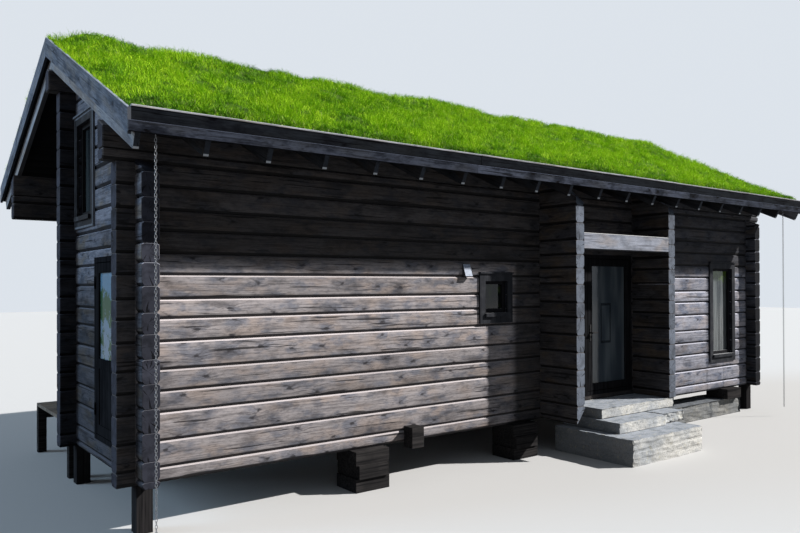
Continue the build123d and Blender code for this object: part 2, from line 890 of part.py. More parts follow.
# Windows: casing and sash
with BuildPart() as windows:
    window(True, small_left, small_window_width, front, -1, small_bottom, small_window_height)
    window(True, tall_left, tall_window_width, front, -1, tall_bottom, tall_window_height)
    for place in rear_window_places:
        window(True, left + place, rear_window_width, back, 1, rear_bottom, rear_window_height)
    window(False, loft_start, loft_window_width, left, -1, loft_bottom, loft_window_height)
    window(False, loft_start, loft_window_width, right, 1, loft_bottom, loft_window_height)
save(windows.part, "windows")

# Glass of the fixed windows
pane_depth = (sash_recess + sash_depth) / 2
pane_lift = sill_board + sash_face
with BuildPart() as window_glass:
    for x_low, width, z_low, height, y_low in (
        (small_left, small_window_width, small_bottom, small_window_height, front + pane_depth),
        (tall_left, tall_window_width, tall_bottom, tall_window_height, front + pane_depth),
        (left + rear_window_places[0], rear_window_width, rear_bottom, rear_window_height, back - pane_depth),
        (left + rear_window_places[1], rear_window_width, rear_bottom, rear_window_height, back - pane_depth),
    ):
        block(
            x_low + sash_face, x_low + width - sash_face, y_low, y_low + glass_thickness,
            z_low + pane_lift, z_low + height - sash_face,
        )
    for x_low in (left + pane_depth, right - pane_depth):
        block(
            x_low, x_low + glass_thickness, loft_start + sash_face, loft_end - sash_face,
            loft_bottom + pane_lift, loft_top - sash_face,
        )
save(window_glass.part, "window_glass")

# Rain chains from the eaves, as straight bars of the chains' outer width
chain_y = front - chain_reach
with BuildPart() as rain_chains:
    for place in (chain_left, chain_right):
        block(
            left + place - chain_width / 2, left + place + chain_width / 2,
            chain_y - chain_width / 2, chain_y + chain_width / 2,
            chain_foot, roof_height(chain_y - chain_width / 2, rafter_drop),
        )
save(rain_chains.part, "rain_chains")

# Small lamp by the window: a housing whose slanted face looks up and away from the wall
lamp_low = sill_height + lamp_bottom
lamp_high = lamp_low + lamp_height
with BuildPart() as wall_lamp:
    with BuildSketch(Plane.YZ.offset(left + lamp_left)):
        with BuildLine():
            Polyline(
                (front, lamp_low),
                (front - lamp_reach, lamp_low),
                (front - lamp_top_reach, lamp_high),
                (front, lamp_high),
                close=True,
            )
        make_face()
    extrude(amount=lamp_width)
save(wall_lamp.part, "wall_lamp")
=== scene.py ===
"""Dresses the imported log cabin: stained logs, slate-grey boards, living turf, stones, doors and windows."""
import bmesh
import bpy
import math
import numpy as np
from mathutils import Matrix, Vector, noise


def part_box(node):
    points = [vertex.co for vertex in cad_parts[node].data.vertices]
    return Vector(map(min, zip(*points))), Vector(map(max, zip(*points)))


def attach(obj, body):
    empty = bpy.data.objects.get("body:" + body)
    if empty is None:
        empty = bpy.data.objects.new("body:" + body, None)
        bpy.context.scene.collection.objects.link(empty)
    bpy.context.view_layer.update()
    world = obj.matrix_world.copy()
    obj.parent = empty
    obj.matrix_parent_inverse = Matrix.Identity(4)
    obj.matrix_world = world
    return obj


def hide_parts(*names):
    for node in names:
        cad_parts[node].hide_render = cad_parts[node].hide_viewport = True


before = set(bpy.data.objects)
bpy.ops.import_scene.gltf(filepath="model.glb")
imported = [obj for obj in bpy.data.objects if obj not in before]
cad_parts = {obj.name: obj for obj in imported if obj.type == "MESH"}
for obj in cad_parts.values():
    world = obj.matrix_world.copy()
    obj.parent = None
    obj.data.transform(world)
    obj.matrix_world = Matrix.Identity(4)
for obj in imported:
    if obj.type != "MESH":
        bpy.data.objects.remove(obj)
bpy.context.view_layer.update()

# Camera: it stands where the photograph was taken from, at eye height off the left front corner,
# and looks along the long front wall. Lens and shift give the photograph's frame.
camera_data = bpy.data.cameras.new("camera")
camera_data.sensor_width = 36.0
camera_data.lens = 32.87
camera_data.shift_y = 0.0184
camera_data.clip_end = 200.0
camera = bpy.data.objects.new("camera", camera_data)
camera.location = (-7.1863, -8.2028, 2.1336)
camera.rotation_euler = (math.radians(90.32), math.radians(0.215), math.radians(-37.237))
bpy.context.scene.collection.objects.link(camera)
bpy.context.scene.camera = camera
bpy.context.scene.view_settings.view_transform = "Standard"


# Ground of the studio: one plain pale sheet, level with the underside of the posts and steps.
# It is not part of the cabin.
class Wire:
    """An output of a finish's node tree; Python's operators add the nodes that work it out."""

    def __init__(self, finish, socket):
        self.finish = finish
        self.socket = socket

    def work(self, operation, first, second):
        """One Math node, or one Vector Math node where either side is a colour or a vector."""
        wide = [s for s in (first, second) if isinstance(s, tuple) or (isinstance(s, Wire) and s.is_wide())]
        kind = "VectorMath" if wide else "Math"
        values = {}
        for place, side in enumerate((first, second)):
            if wide and isinstance(side, (int, float)):
                side = (side,) * 3
            values[place] = side
        return self.finish.node(kind, {"operation": operation}, values)

    def is_wide(self):
        return self.socket.type in ("RGBA", "VECTOR")

    def __add__(self, other):
        return self.work("ADD", self, other)

    def __radd__(self, other):
        return self.work("ADD", other, self)

    def __sub__(self, other):
        return self.work("SUBTRACT", self, other)

    def __rsub__(self, other):
        return self.work("SUBTRACT", other, self)

    def __mul__(self, other):
        return self.work("MULTIPLY", self, other)

    def __rmul__(self, other):
        return self.work("MULTIPLY", other, self)


class Finish:
    """A material, or the world, whose node tree is written as expressions."""

    def __init__(self, name, kind="materials", shader="Principled BSDF"):
        self.material = getattr(bpy.data, kind).new(name)
        self.material.use_nodes = True
        self.tree = self.material.node_tree
        self.shader = self.tree.nodes[shader]

    def feed(self, socket, value):
        if isinstance(value, Wire):
            self.tree.links.new(value.socket, socket)
        elif isinstance(value, tuple) and socket.type == "RGBA":
            socket.default_value = (*value[:3], 1.0)
        else:
            socket.default_value = value

    def node(self, kind, settings=None, values=None, out=0):
        """Any node, by its type, its settings and the values or wires of its sockets."""
        made = self.tree.nodes.new("ShaderNode" + kind)
        for name, setting in (settings or {}).items():
            if name == "stops":
                ramp = made.color_ramp
                while len(ramp.elements) < len(setting):
                    ramp.elements.new(0.5)
                for element, (place, colour) in zip(ramp.elements, setting):
                    element.position = place
                    element.color = (*colour, 1.0)
            else:
                setattr(made, name, setting)
        for name, value in (values or {}).items():
            self.feed(made.inputs[name], value)
        if isinstance(out, tuple):
            return [Wire(self, made.outputs[name]) for name in out]
        return Wire(self, made.outputs[out])

    def mixed(self, factor, first, second):
        """Colours laid over each other, by a factor from 0 to 1."""
        return self.node("Mix", {"data_type": "RGBA"}, {0: factor, 6: first, 7: second}, out=2)

    def rise(self, value, low, high):
        """0 below low, 1 above high and a soft step between."""
        values = {"Value": value, "From Min": low, "From Max": high}
        return self.node("MapRange", {"interpolation_type": "SMOOTHSTEP"}, values)

    def larger(self, first, second):
        return self.node("Math", {"operation": "MAXIMUM"}, {0: first, 1: second})

    def size(self, value):
        return self.node("Math", {"operation": "ABSOLUTE"}, {0: value})

    def length(self, x, y):
        return self.node("Math", {"operation": "SQRT"}, {0: x * x + y * y})

    def over(self, colour, other, value, low, high, share=1.0):
        """Another colour laid over one where a value rises from low to high, by no more than share."""
        return self.mixed(self.rise(value, low, high) * share, colour, other)

    def layered(self, colour, *layers):
        """Colours laid over one in turn, each written as over() takes it."""
        for layer in layers:
            colour = self.over(colour, *layer)
        return colour

    def here(self):
        """The place on the object, in metres in the shared frame."""
        return self.node("TexCoord", out="Object")

    def parts(self, vector, out=("X", "Y", "Z")):
        return self.node("SeparateXYZ", None, {0: vector}, out)

    def joined(self, x, y, z=0.0):
        return self.node("CombineXYZ", None, {"X": x, "Y": y, "Z": z})

    def carried(self, name):
        """The three values that the mesh carries under a name."""
        return self.parts(self.node("Attribute", {"attribute_name": name}, out="Vector"))

    def facing(self, out, normal="True Normal"):
        """How far the surface faces along an axis."""
        return self.parts(self.node("NewGeometry", out=normal), out)

    def plain_view(self):
        """1 for what the camera sees straight, mirrored or through glass, 0 for light that is passed on."""
        rays = self.node("LightPath", out=("Is Camera Ray", "Is Glossy Ray", "Is Transmission Ray"))
        return self.larger(self.larger(rays[0], rays[1]), rays[2])

    def noise(self, place, scale=1.0, detail=4.0, roughness=0.6):
        """Cloudy noise at a vector, or at three values that are joined to one."""
        place = self.joined(*place) if isinstance(place, tuple) else place
        values = {"Vector": place, "Scale": scale, "Detail": detail, "Roughness": roughness}
        return self.node("TexNoise", None, values)

    def set(self, **sockets):
        for name, value in sockets.items():
            self.feed(self.shader.inputs[name.replace("_", " ")], value)

    def bump(self, height, strength, distance):
        values = {"Height": height, "Strength": strength, "Distance": distance}
        self.set(Normal=self.node("Bump", None, values))


ground_reach = 60.0
ground_mesh = bpy.data.meshes.new("studio_ground")
ground_corners = [(x * ground_reach, y * ground_reach, 0) for x, y in ((-1, -1), (1, -1), (1, 1), (-1, 1))]
ground_mesh.from_pydata(ground_corners, [], [(0, 1, 2, 3)])
ground = bpy.data.objects.new("studio_ground", ground_mesh)
bpy.context.scene.collection.objects.link(ground)
ground_finish = Finish("studio_ground_pale")
ground_grey = ground_finish.mixed(ground_finish.plain_view(), (0.15, 0.15, 0.15), (0.50, 0.50, 0.50))
ground_finish.set(Base_Color=ground_grey, Roughness=0.9)
ground_mesh.materials.append(ground_finish.material)

# Light: a soft key from the front right, as the day's light falls in the photograph, a cool and very soft
# light from the left rear for the gable and the back, and an even fill from a pale backdrop all round.
backdrop = Finish("studio_fill", "worlds", "Background")
bpy.context.scene.world = backdrop.material
fill = 0.20
backdrop_seen = backdrop.plain_view()
backdrop.set(
    Color=backdrop.mixed(backdrop_seen, (0.78, 0.88, 1.0), (0.72, 0.77, 0.83)),
    Strength=fill + backdrop_seen * (1.0 - fill),
)


def add_sun(name, towards, strength, colour, softness):
    """A lamp far away, whose light travels along the given direction."""
    lamp = bpy.data.lights.new(name, "SUN")
    lamp.energy = strength
    lamp.color = colour
    lamp.angle = math.radians(softness)
    sun = bpy.data.objects.new(name, lamp)
    across = math.hypot(towards[0], towards[1])
    turn = math.atan2(towards[1], towards[0]) - math.pi / 2
    sun.rotation_euler = (math.atan2(across, -towards[2]), 0, turn)
    bpy.context.scene.collection.objects.link(sun)


add_sun("key_light", towards=(-1.576, 1.0, -1.38), strength=6.5, colour=(1.0, 0.97, 0.93), softness=1.2)
add_sun("side_light", towards=(1.0, -0.55, -0.4), strength=2.3, colour=(0.55, 0.77, 1.0), softness=28.0)


# Foundation: tarred posts under the corners, stacked short logs under the long walls, and the sawn end
# of a floor beam beside the small window. All of it stands on the ground or on the flat stone.
def packed(node):
    """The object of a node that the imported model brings."""
    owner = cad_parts[node]
    return bpy.data.objects[owner] if isinstance(owner, str) else owner


def dress(node, finish):
    """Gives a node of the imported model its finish."""
    owner = packed(node)
    owner.data.materials.clear()
    owner.data.materials.append(finish.material)


def placed_wood(name, pale, dark, along, rough=0.55):
    """Wood on a solid that carries no grain of its own: the streaks run along one axis of the object."""
    made = Finish(name)
    spot = made.here()
    x, y, z = made.parts(spot)
    stretch = {"x": (1.5, 60, 60), "z": (60, 60, 1.5)}[along]
    streaks = made.noise((x * stretch[0], y * stretch[1], z * stretch[2]), 1.0, 5.0, 0.6)
    clouds = made.noise(spot, 3.0)
    colour = made.layered(pale, (dark, streaks, 0.35, 0.7), (dark, clouds, 0.45, 0.7, 0.5))
    made.set(Base_Color=colour, Roughness=rough + streaks * 0.15, Specular_IOR_Level=0.0)
    made.bump(streaks, 0.25, 0.002)
    return made


tarred = placed_wood("tarred_timber", (0.032, 0.030, 0.031), (0.009, 0.009, 0.010), "z", 0.75)
tarred_across = placed_wood("tarred_timber_across", (0.045, 0.042, 0.042), (0.012, 0.012, 0.013), "x", 0.75)
dress("posts", tarred)
dress("timber_cribs", tarred_across)
dress("floor_beams", tarred_across)


# Steps and foundation stone: slabs of grey stone from the hillside, split rough at their sides,
# laid dry on each other in front of the entry and under the right wall.
def tie(name, mesh, slot, nodes=(), angle=32.0):
    """Ties a piece to the cabin, its faces turned outwards and smooth where they meet below the angle."""
    if angle:
        work = bmesh.new()
        work.from_mesh(mesh)
        bmesh.ops.recalc_face_normals(work, faces=work.faces)
        work.to_mesh(mesh)
        work.free()
        mesh.shade_smooth()
        mesh.set_sharp_from_angle(angle=math.radians(angle))
    piece = bpy.data.objects.new(name, mesh)
    bpy.context.scene.collection.objects.link(piece)
    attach(piece, "cabin")
    if nodes:
        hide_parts(*nodes)
    return piece


def stone_finish():
    """Grey stone in thin layers, darker and bluer on its tops, with specks and some lichen."""
    made = Finish("split_stone")
    place = made.here()
    side, up = made.facing(("X", "Z"), "Normal")
    x, z = made.parts(place, ("X", "Z"))
    large = made.noise(place, 2.5, 5.0, 0.6)
    middle = made.noise(place, 11.0)
    fine = made.noise(place, 60.0)
    layers = made.noise((large * 2.0, 0.0, z * 38.0), 1.0, 3.0, 0.6)
    lichen = made.noise(place, 24.0, 5.0, 0.7)
    # Faces turned to -x are painted dark slate as painted shade.
    colour = made.layered(
        (0.64, 0.63, 0.60), ((0.42, 0.44, 0.46), large, 0.35, 0.65),
        ((0.20, 0.20, 0.20), layers, 0.55, 0.72, 0.55), ((0.24, 0.25, 0.26), middle, 0.55, 0.72, 0.45),
        ((0.11, 0.13, 0.155), 0.0 - side, 0.5, 0.9, 0.7),
    )
    top = made.over((0.33, 0.36, 0.41), (0.20, 0.225, 0.26), middle, 0.4, 0.68)
    # Faces turned to +x are made a third darker.
    colour = made.layered(
        colour * (1 - made.rise(side, 0.5, 0.9) * 0.35), (top, up, 0.55, 0.85),
        ((0.13, 0.13, 0.13), fine, 0.50, 0.64, 0.50), ((0.50, 0.46, 0.33), lichen, 0.57, 0.66, 0.5),
    )
    colour = colour * (1 - made.rise(x, 2.0, 2.4) * 0.55)
    made.set(Base_Color=colour, Roughness=0.88 + fine * 0.1, Specular_IOR_Level=0.2)
    made.bump(large * 0.5 + middle * 0.3 + fine * 0.3 + layers * 0.4, 0.7, 0.012)
    return made


rock = stone_finish()


def split_slab(name, node, seed, inset=0.016, rough=0.016, cells=32):
    """A slab in the space of a node, with an uneven outline, ledges down its sides and a worn top."""
    low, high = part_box(node)
    centre, half = (low + high) / 2, (high - low) / 2
    ledge_height, ledge_depth, chip_depth, wear, at_face = 0.035, 0.010, 0.03, 0.006, 0.999
    work = bmesh.new()
    bmesh.ops.create_cube(work, size=2.0)
    bmesh.ops.subdivide_edges(work, edges=work.edges[:], cuts=cells, use_grid_fill=True)
    for point in work.verts:
        unit = point.co.copy()
        spot = Vector((centre.x + unit.x * half.x, centre.y + unit.y * half.y, centre.z + unit.z * half.z))
        ledge = noise.noise(Vector((seed * 3.1, 0.0, round(spot.z / ledge_height) * 1.7)))
        side = noise.noise(Vector((spot.x * 3.0, spot.y * 3.0, seed)))
        crumble = noise.noise(spot * 17.0 + Vector((seed, 0, 0))) + 0.5 * noise.noise(spot * 41.0)
        chip = max(0.0, noise.noise(spot * 9.0 + Vector((0, seed, 0)))) * chip_depth
        pull = inset * (0.5 + 0.5 * side) + ledge_depth * (ledge + 1) / 2 + rough * (crumble + 1) / 2
        pull += abs(unit.x) ** 8 * abs(unit.y) ** 8 * inset * 0.5
        if abs(unit.x) > at_face:
            spot.x -= math.copysign(min(pull, half.x * 0.5), unit.x)
        if abs(unit.y) > at_face:
            spot.y -= math.copysign(min(pull, half.y * 0.5), unit.y)
        if unit.z > at_face:
            on_rim = max(abs(unit.x), abs(unit.y)) > at_face
            worn = wear * (noise.noise(Vector((spot.x * 4, spot.y * 4, seed + 5))) + 1)
            spot.z -= worn + (chip if on_rim else 0.0)
        point.co = spot
    mesh = bpy.data.meshes.new(name)
    work.to_mesh(mesh)
    work.free()
    mesh.materials.append(rock.material)
    tie(name, mesh, "stone", (node,), angle=50)


split_slab("landing_stone", "landing_slab", 1)
split_slab("middle_stone", "middle_step", 2)
split_slab("rough_side_stone", "side_stone", 3, 0.03, 0.03)
split_slab("bottom_stone", "bottom_step", 4, 0.02, 0.02, 36)
split_slab("wall_stone", "foundation_stone", 5, 0.02, 0.025, 36)

# Log walls: squared pine logs, 155 mm thick, stained dark and laid with a deep V groove at each joint.
# At the corners the logs of both walls lie half a log apart, are notched and run through as short stubs.
LEFT, RIGHT, FRONT, BACK, RIDGE = -5.205, 5.205, -1.855, 2.345, 0.245
LOG, LOG_SWAY = 0.155, 0.0013
SILL, WALL_TOP, APEX = 0.42, 3.201, 4.786
SLOPE = math.tan(math.radians(24.65))
STUB = 0.16
FLOOR_TOP = 0.63
front_heights = [124, 231, 246, 187, 189, 244, 202, 172, 214, 188, 196, 185, 203, 200]
front_levels = SILL + np.concatenate(([0], np.cumsum(front_heights))) / 1000


class Stack:
    """Gathers the logs or boards of one piece; each is a chamfered tube that carries its own grain."""

    def __init__(self, name, seed):
        self.name = name
        self.chance = np.random.default_rng(seed)
        self.points, self.faces, self.grain, self.marks = [], [], [], []

    def add(self, section, place, start, end, step=0.4, chamfer=0.0, sway=0.0, seed=None, coat=0):
        """Runs a section of (depth, height) points from start to end, which may depend on the height."""
        chance = self.chance if seed is None else np.random.default_rng(seed)
        shade, offset, phases = chance.uniform(0, 90), chance.uniform(0, 50), chance.uniform(0, 6.28, 4)
        first = [start(h) if callable(start) else start for d, h in section]
        last = [end(h) if callable(end) else end for d, h in section]
        stations = max(1, int(math.ceil((max(last) - min(first)) / step)))
        middle = np.mean(section, axis=0)
        edge = [(0.0, 0.0, chamfer), (0.0, chamfer, 0.0)] if chamfer else [(0.0, 0.0, 0.0)]
        rings = edge + [(number / stations, 0.0, 0.0) for number in range(1, stations)]
        rings += [(1.0, -shift, shrink) for _, shift, shrink in reversed(edge)]
        run = [0.0]
        for (d0, h0), (d1, h1) in zip(section, section[1:] + section[:1]):
            run.append(run[-1] + math.hypot(d1 - d0, h1 - h0))
        base, size, alongs = len(self.points), len(section), []
        for part, shift, shrink in rings:
            ring = []
            for (d, h), s, e in zip(section, first, last):
                along = s + (e - s) * part + shift
                pull = max(abs(d - middle[0]), abs(h - middle[1]), 1e-6)
                ratio = 1 - shrink / pull
                d1, h1 = middle[0] + (d - middle[0]) * ratio, middle[1] + (h - middle[1]) * ratio
                d1 += sway * (math.sin(1.7 * along + phases[0]) + 0.6 * math.sin(4.3 * along + phases[1]))
                h1 += sway * 0.7 * math.sin(1.3 * along + phases[2])
                self.points.append(place(along, d1, h1))
                ring.append(along)
            alongs.append(ring)
        for number in range(len(rings) - 1):
            low, high = base + number * size, base + (number + 1) * size
            for i in range(size):
                j = (i + 1) % size
                self.faces.append((low + i, low + j, high + j, high + i))
                for along, around in (
                    (alongs[number][i], run[i]), (alongs[number][j], run[i + 1]),
                    (alongs[number + 1][j], run[i + 1]), (alongs[number + 1][i], run[i]),
                ):
                    self.grain.append((along + offset, around, shade))
                self.marks.append(coat)
        for start_of_ring in (base, base + (len(rings) - 1) * size):
            self.faces.append(tuple(range(start_of_ring, start_of_ring + size)))
            for d, h in section:
                self.grain.append((d - middle[0], h - middle[1], shade))
            self.marks.append(1)

    def finish(self, finishes, slot, nodes=()):
        """Makes the piece, gives it its finishes and ties it to the cabin."""
        mesh = bpy.data.meshes.new(self.name)
        mesh.from_pydata([tuple(p) for p in self.points], [], self.faces)
        layer = mesh.attributes.new("grain", "FLOAT_VECTOR", "CORNER")
        layer.data.foreach_set("vector", np.array(self.grain, np.float32).ravel())
        mesh.polygons.foreach_set("material_index", np.array(self.marks, np.int32))
        for finish in finishes:
            mesh.materials.append(finish.material)
        tie(self.name, mesh, slot, nodes)


def trimmed(section, keep):
    """The part of a convex section where keep(depth, height), a straight rule, is not below zero."""
    kept = []
    for (d0, h0), (d1, h1) in zip(section, section[1:] + section[:1]):
        here, there = keep(d0, h0), keep(d1, h1)
        if here >= -1e-9:
            kept.append((d0, h0))
        if (here >= -1e-9) != (there >= -1e-9):
            part = here / (here - there)
            kept.append((d0 + part * (d1 - d0), h0 + part * (h1 - h0)))
    return kept


def clipped(section, low, high):
    """A convex section between two heights."""
    return trimmed(trimmed(section, lambda d, h: h - low), lambda d, h: high - h)


def log_section(low, high):
    """A squared log with its long edges chamfered for the V grooves."""
    groove, under, over = 0.022, 0.031, 0.015
    return [
        (groove, low), (0.002, low + under - 0.003), (0.0, low + under + 0.006), (-0.001, (low + high) / 2),
        (0.0, high - over - 0.006), (0.002, high - over + 0.003), (groove, high),
        (LOG - groove, high), (LOG, high - over), (LOG, low + under), (LOG - groove, low),
    ]


def lay_logs(
    stack, levels, place, start, end, openings=(), low=0.0, high=9.0, joints=None, foot=None, seed=0
):
    """Lays one wall's logs from the bottom up, cut back at its openings, given as (from, to, bottom, top)."""
    thinnest, sliver, joint, touch = 0.012, 0.005, 0.0015, 1e-4
    for row, (z0, z1) in enumerate(zip(levels, levels[1:])):
        bottom, top = max(z0, low), min(z1, high)
        if top - bottom < thinnest:
            continue
        whole = clipped(log_section(z0, z1), bottom, top)
        if foot:
            whole = trimmed(whole, foot)
        if len(whole) < 3:
            continue
        cuts = sorted([o for o in openings if o[2] < top - touch and o[3] > bottom + touch])
        pieces, here = [], start
        for a, b, c, d in cuts:
            pieces.append((here, a, whole))
            if c > bottom + sliver:
                pieces.append((a, b, clipped(whole, bottom, c)))
            if d < top - sliver:
                pieces.append((a, b, clipped(whole, d, top)))
            here = b
        pieces.append((here, end, whole))
        split = (joints or {}).get(row)
        for number, (s, e, section) in enumerate(pieces):
            if split and not callable(s) and not callable(e) and s < split < e:
                pieces[number:number + 1] = [(s, split - joint, section), (split + joint, e, section)]
                break
        for s, e, section in pieces:
            chamfer = 0.004 if s is start or e is end else 0.0
            stack.add(section, place, s, e, chamfer=chamfer, sway=LOG_SWAY, seed=seed * 1000 + row)


def scaled(colour, share):
    """A plain colour made lighter or darker."""
    return tuple(share * c for c in colour)


def timber_finish(
    name, pale, cool, warm, dark, rough=0.8, bump=0.5, marks=1.0, gloss=0.15, painted_shade=None, deep=0.3,
    greyer=(1.0, 1.0, 1.0),
):
    """Stained softwood: streaks along the grain, clouds of darker stain, knots and thin drying cracks.

    Shade is painted where painted_shade(finish, x, y, z) is 1. The upper edges of the grooves are painted
    pale, as wear and painted highlight, and their undersides near black, as painted shade.
    """
    made = Finish(name)
    along, around, shade = made.carried("grain")

    def spotted(a, b, c, detail, roughness):
        """Noise stretched by a along the log and by b round it; c keeps one layer apart from the next."""
        return made.noise((along * a, around * b, shade + c), 1.0, detail, roughness)

    seeded = made.joined(along * 2.9, around * 5.4) + made.joined(shade * 3.7, shade * 1.9)
    cells = made.node(
        "TexVoronoi", {"voronoi_dimensions": "2D"}, {"Vector": seeded, "Scale": 1.0}, ("Color", "Position")
    )
    chosen, way = made.node("SeparateColor", None, {0: cells[0]}, ("Red", "Green"))
    off_x, off_y = made.parts(seeded - cells[1], ("X", "Y"))
    ragged = (spotted(22.0, 48.0, 5.0, 3.0, 0.6) - 0.5) * 0.30
    reach = made.length(off_x, off_y) + ragged
    has_knot = made.rise(chosen, 0.38, 0.44)
    near = has_knot * (1 - made.rise(reach, 0.02, 0.50))
    knot = has_knot * (1 - made.rise(reach, 0.03, 0.12))
    swept = off_x * (made.rise(way, 0.49, 0.51) * 2.0 - 1.0) - made.size(off_y) * 0.9
    wing = has_knot * (1 - made.rise(made.size(swept + ragged * 0.8), 0.01, 0.06))
    wing = wing * (1 - made.rise(made.size(off_y), 0.08, 0.30))
    streaks = made.noise((along * 1.6, (around + near * 0.025) * 52.0, shade), 1.0, 6.0, 0.68)
    fine = spotted(5.0, 190.0, 0.0, 3.0, 0.5)
    mottle = spotted(15.0, 74.0, 9.0, 4.0, 0.65)
    clouds = spotted(4.6, 9.0, 17.0, 4.0, 0.6)
    stain = spotted(2.4, 5.0, 29.0, 5.0, 0.65)
    warmth = spotted(2.4, 6.0, 41.0, 3.0, 0.5)
    cracks = made.rise(spotted(1.1, 40.0, 63.0, 2.0, 0.5), 0.645, 0.672)
    tone = made.node("TexWhiteNoise", {"noise_dimensions": "1D"}, {"W": shade})
    colour = made.layered(
        pale, (warm, warmth, 0.44, 0.66), (cool, clouds + near * (0.14 * marks), 0.46, 0.70, 0.85),
        (dark, stain, 0.46, 0.74, 0.72), (dark, streaks, 0.42, 0.72, 0.66),
        (dark, mottle, 0.48, 0.72, 0.50 * marks), (dark, fine, 0.45, 0.75, 0.35),
    )
    colour = made.mixed(made.larger(knot, wing * 0.5) * (0.9 * marks), colour, dark)
    colour = made.mixed(cracks * 0.85, colour, scaled(dark, 0.35))
    # The upward chamfers are painted pale, partly as wear and partly as painted highlight; the downward ones
    # are painted near black as painted shade.
    up = made.facing("Z")
    edge = made.rise(up, 0.3, 0.5) * (1 - made.rise(up, 0.94, 0.985))
    colour = made.mixed(edge * (0.55 + streaks * 0.7), colour, tuple(min(0.62, 1.5 * c) for c in pale))
    colour = made.over(colour, scaled(dark, 0.3), 0.0 - up, 0.2, 0.4, 0.9)
    colour = colour * (0.76 + tone * 0.48)
    # Painted shade: the colour falls to deep times itself where painted_shade is 1; right of x = 2 it is
    # multiplied by greyer.
    if painted_shade:
        x, y, z = made.parts(made.here())
        colour = colour * (1 - painted_shade(made, x, y, z) * (1 - deep))
        colour = made.over(colour, colour * greyer, x, 1.9, 2.1)
    made.set(Base_Color=colour, Roughness=rough + streaks * 0.12, Specular_IOR_Level=gloss)
    made.bump(streaks * 0.5 + fine * 0.3 - cracks * 1.2 - knot * 0.3, bump, 0.003)
    return made


def end_grain_finish(name, pale, dark, foot=None, painted_shade=None, gloss=0.15):
    """The sawn end of a log: rings round the pith, and cracks that run out from it."""
    made = Finish(name)
    x, y, shade = made.carried("grain")
    flat = made.joined(x, y, shade)
    reach = made.length(x, y)
    warped = (reach + made.noise(flat, 18.0, 2.0, 0.5) * 0.016) * 900.0
    rings = made.node("Math", {"operation": "SINE"}, {0: warped}) * 0.5 + 0.5
    turn = made.node("Math", {"operation": "ARCTAN2"}, {0: y, 1: x})
    cracks = made.rise(made.noise((turn * 3.5, reach * 5.0, shade), 1.0, 2.0, 0.5), 0.62, 0.67)
    stains = made.noise(flat, 9.0)
    tone = made.node("TexWhiteNoise", {"noise_dimensions": "1D"}, {"W": shade})
    colour = made.mixed(rings * 0.35, pale, dark)
    colour = made.over(colour, dark, stains, 0.4, 0.68, 0.7)
    colour = made.mixed(cracks * 0.9, colour, scaled(dark, 0.3)) * (0.7 + tone * 0.5)
    # A pale strip along the lowest edge, painted sunlight below the fascia's shadow.
    if foot:
        colour = made.over(colour, foot, y, 0.050, 0.058)
    # Painted shade where painted_shade is 1.
    if painted_shade:
        colour = colour * (1 - painted_shade(made, *made.parts(made.here())) * 0.75)
    made.set(Base_Color=colour, Roughness=0.85, Specular_IOR_Level=gloss)
    made.bump(rings * 0.2 - cracks + stains * 0.4, 0.5, 0.003)
    return made


def shade_at_the_right_corner(made, x, y, z):
    """Painted shade: 1 at the front wall's right end."""
    return made.rise(x, 5.0, 5.04)


def shade_under_the_eave(made, x, y, z):
    """Painted shade: 1 high on the long walls, beside and between the wing walls, at the right corner and on
    the stubs out past the left gable.
    """
    niche = made.rise(x, -0.66, -0.52) * (1 - made.rise(x, 1.87, 1.95)) * (1 - made.rise(y, -1.4, -1.3))
    ends = made.larger(shade_at_the_right_corner(made, x, y, z), 1 - made.rise(x, -5.215, -5.195))
    return made.larger(made.larger(made.rise(z, 2.28, 2.44), niche), ends)


log_side = timber_finish(
    "stained_log", (0.365, 0.335, 0.342), (0.175, 0.183, 0.222), (0.375, 0.315, 0.292), (0.034, 0.032, 0.036),
    painted_shade=shade_under_the_eave, deep=0.20, greyer=(1.0, 1.10, 1.25),
)
log_end = end_grain_finish(
    "stained_log_end", (0.042, 0.045, 0.062), (0.012, 0.013, 0.018), painted_shade=shade_at_the_right_corner, gloss=0.08
)

entry_doorway = (LEFT + 5.97, LEFT + 7.01, FLOOR_TOP, FLOOR_TOP + 1.91)
small_window = (LEFT + 4.1, LEFT + 4.491, 1.752, 2.192)
tall_window = (LEFT + 9.158, LEFT + 9.772, 0.95, 2.397)
joint_under_window = LEFT + 9.518
front_logs = Stack("front_logs", 11)
lay_logs(
    front_logs, front_levels, lambda s, d, h: (s, FRONT + d, h), LEFT - STUB, RIGHT + STUB,
    [entry_doorway, small_window, tall_window], joints=dict.fromkeys(range(3), joint_under_window), seed=1,
)
front_nodes = ("front_wall_left", "front_wall_right", "walls_over_doors", "walls_under_doors")
front_logs.finish([log_side, log_end], "log_timber", front_nodes)

# Gable logs: the same logs on the short walls, cut to the slope of the roof at their ends.
# The left gable holds a door and a loft window and stops short of the open porch at the back.
MID_FRONT, MID_BACK = RIDGE - LOG / 2, RIDGE + LOG / 2
UNDER_BOARDS = 0.185
GABLE_TOP = 4.56
gable_heights = [59, 169, 240, 204, 212, 210, 213, 183, 226, 199, 164, 180, 211, 213, 205, 200, 195, 205, 200,
                 195, 205, 200]
gable_levels = SILL + np.concatenate(([0], np.cumsum(gable_heights))) / 1000


def under_roof(side, drop, plumb, above_top):
    """Where a log ends at the front (-1) or the rear (1): plumb, or on the slope where that cuts it shorter.

    The slope lies a plumb drop below the verge's top edge, and over the wall's top the plumb end stands back.
    """
    def end(h):
        straight = plumb if h <= WALL_TOP + 1e-4 else above_top
        slanted = RIDGE + side * (APEX - drop - h) / SLOPE
        return max(straight, slanted) if side < 0 else min(straight, slanted)
    return end


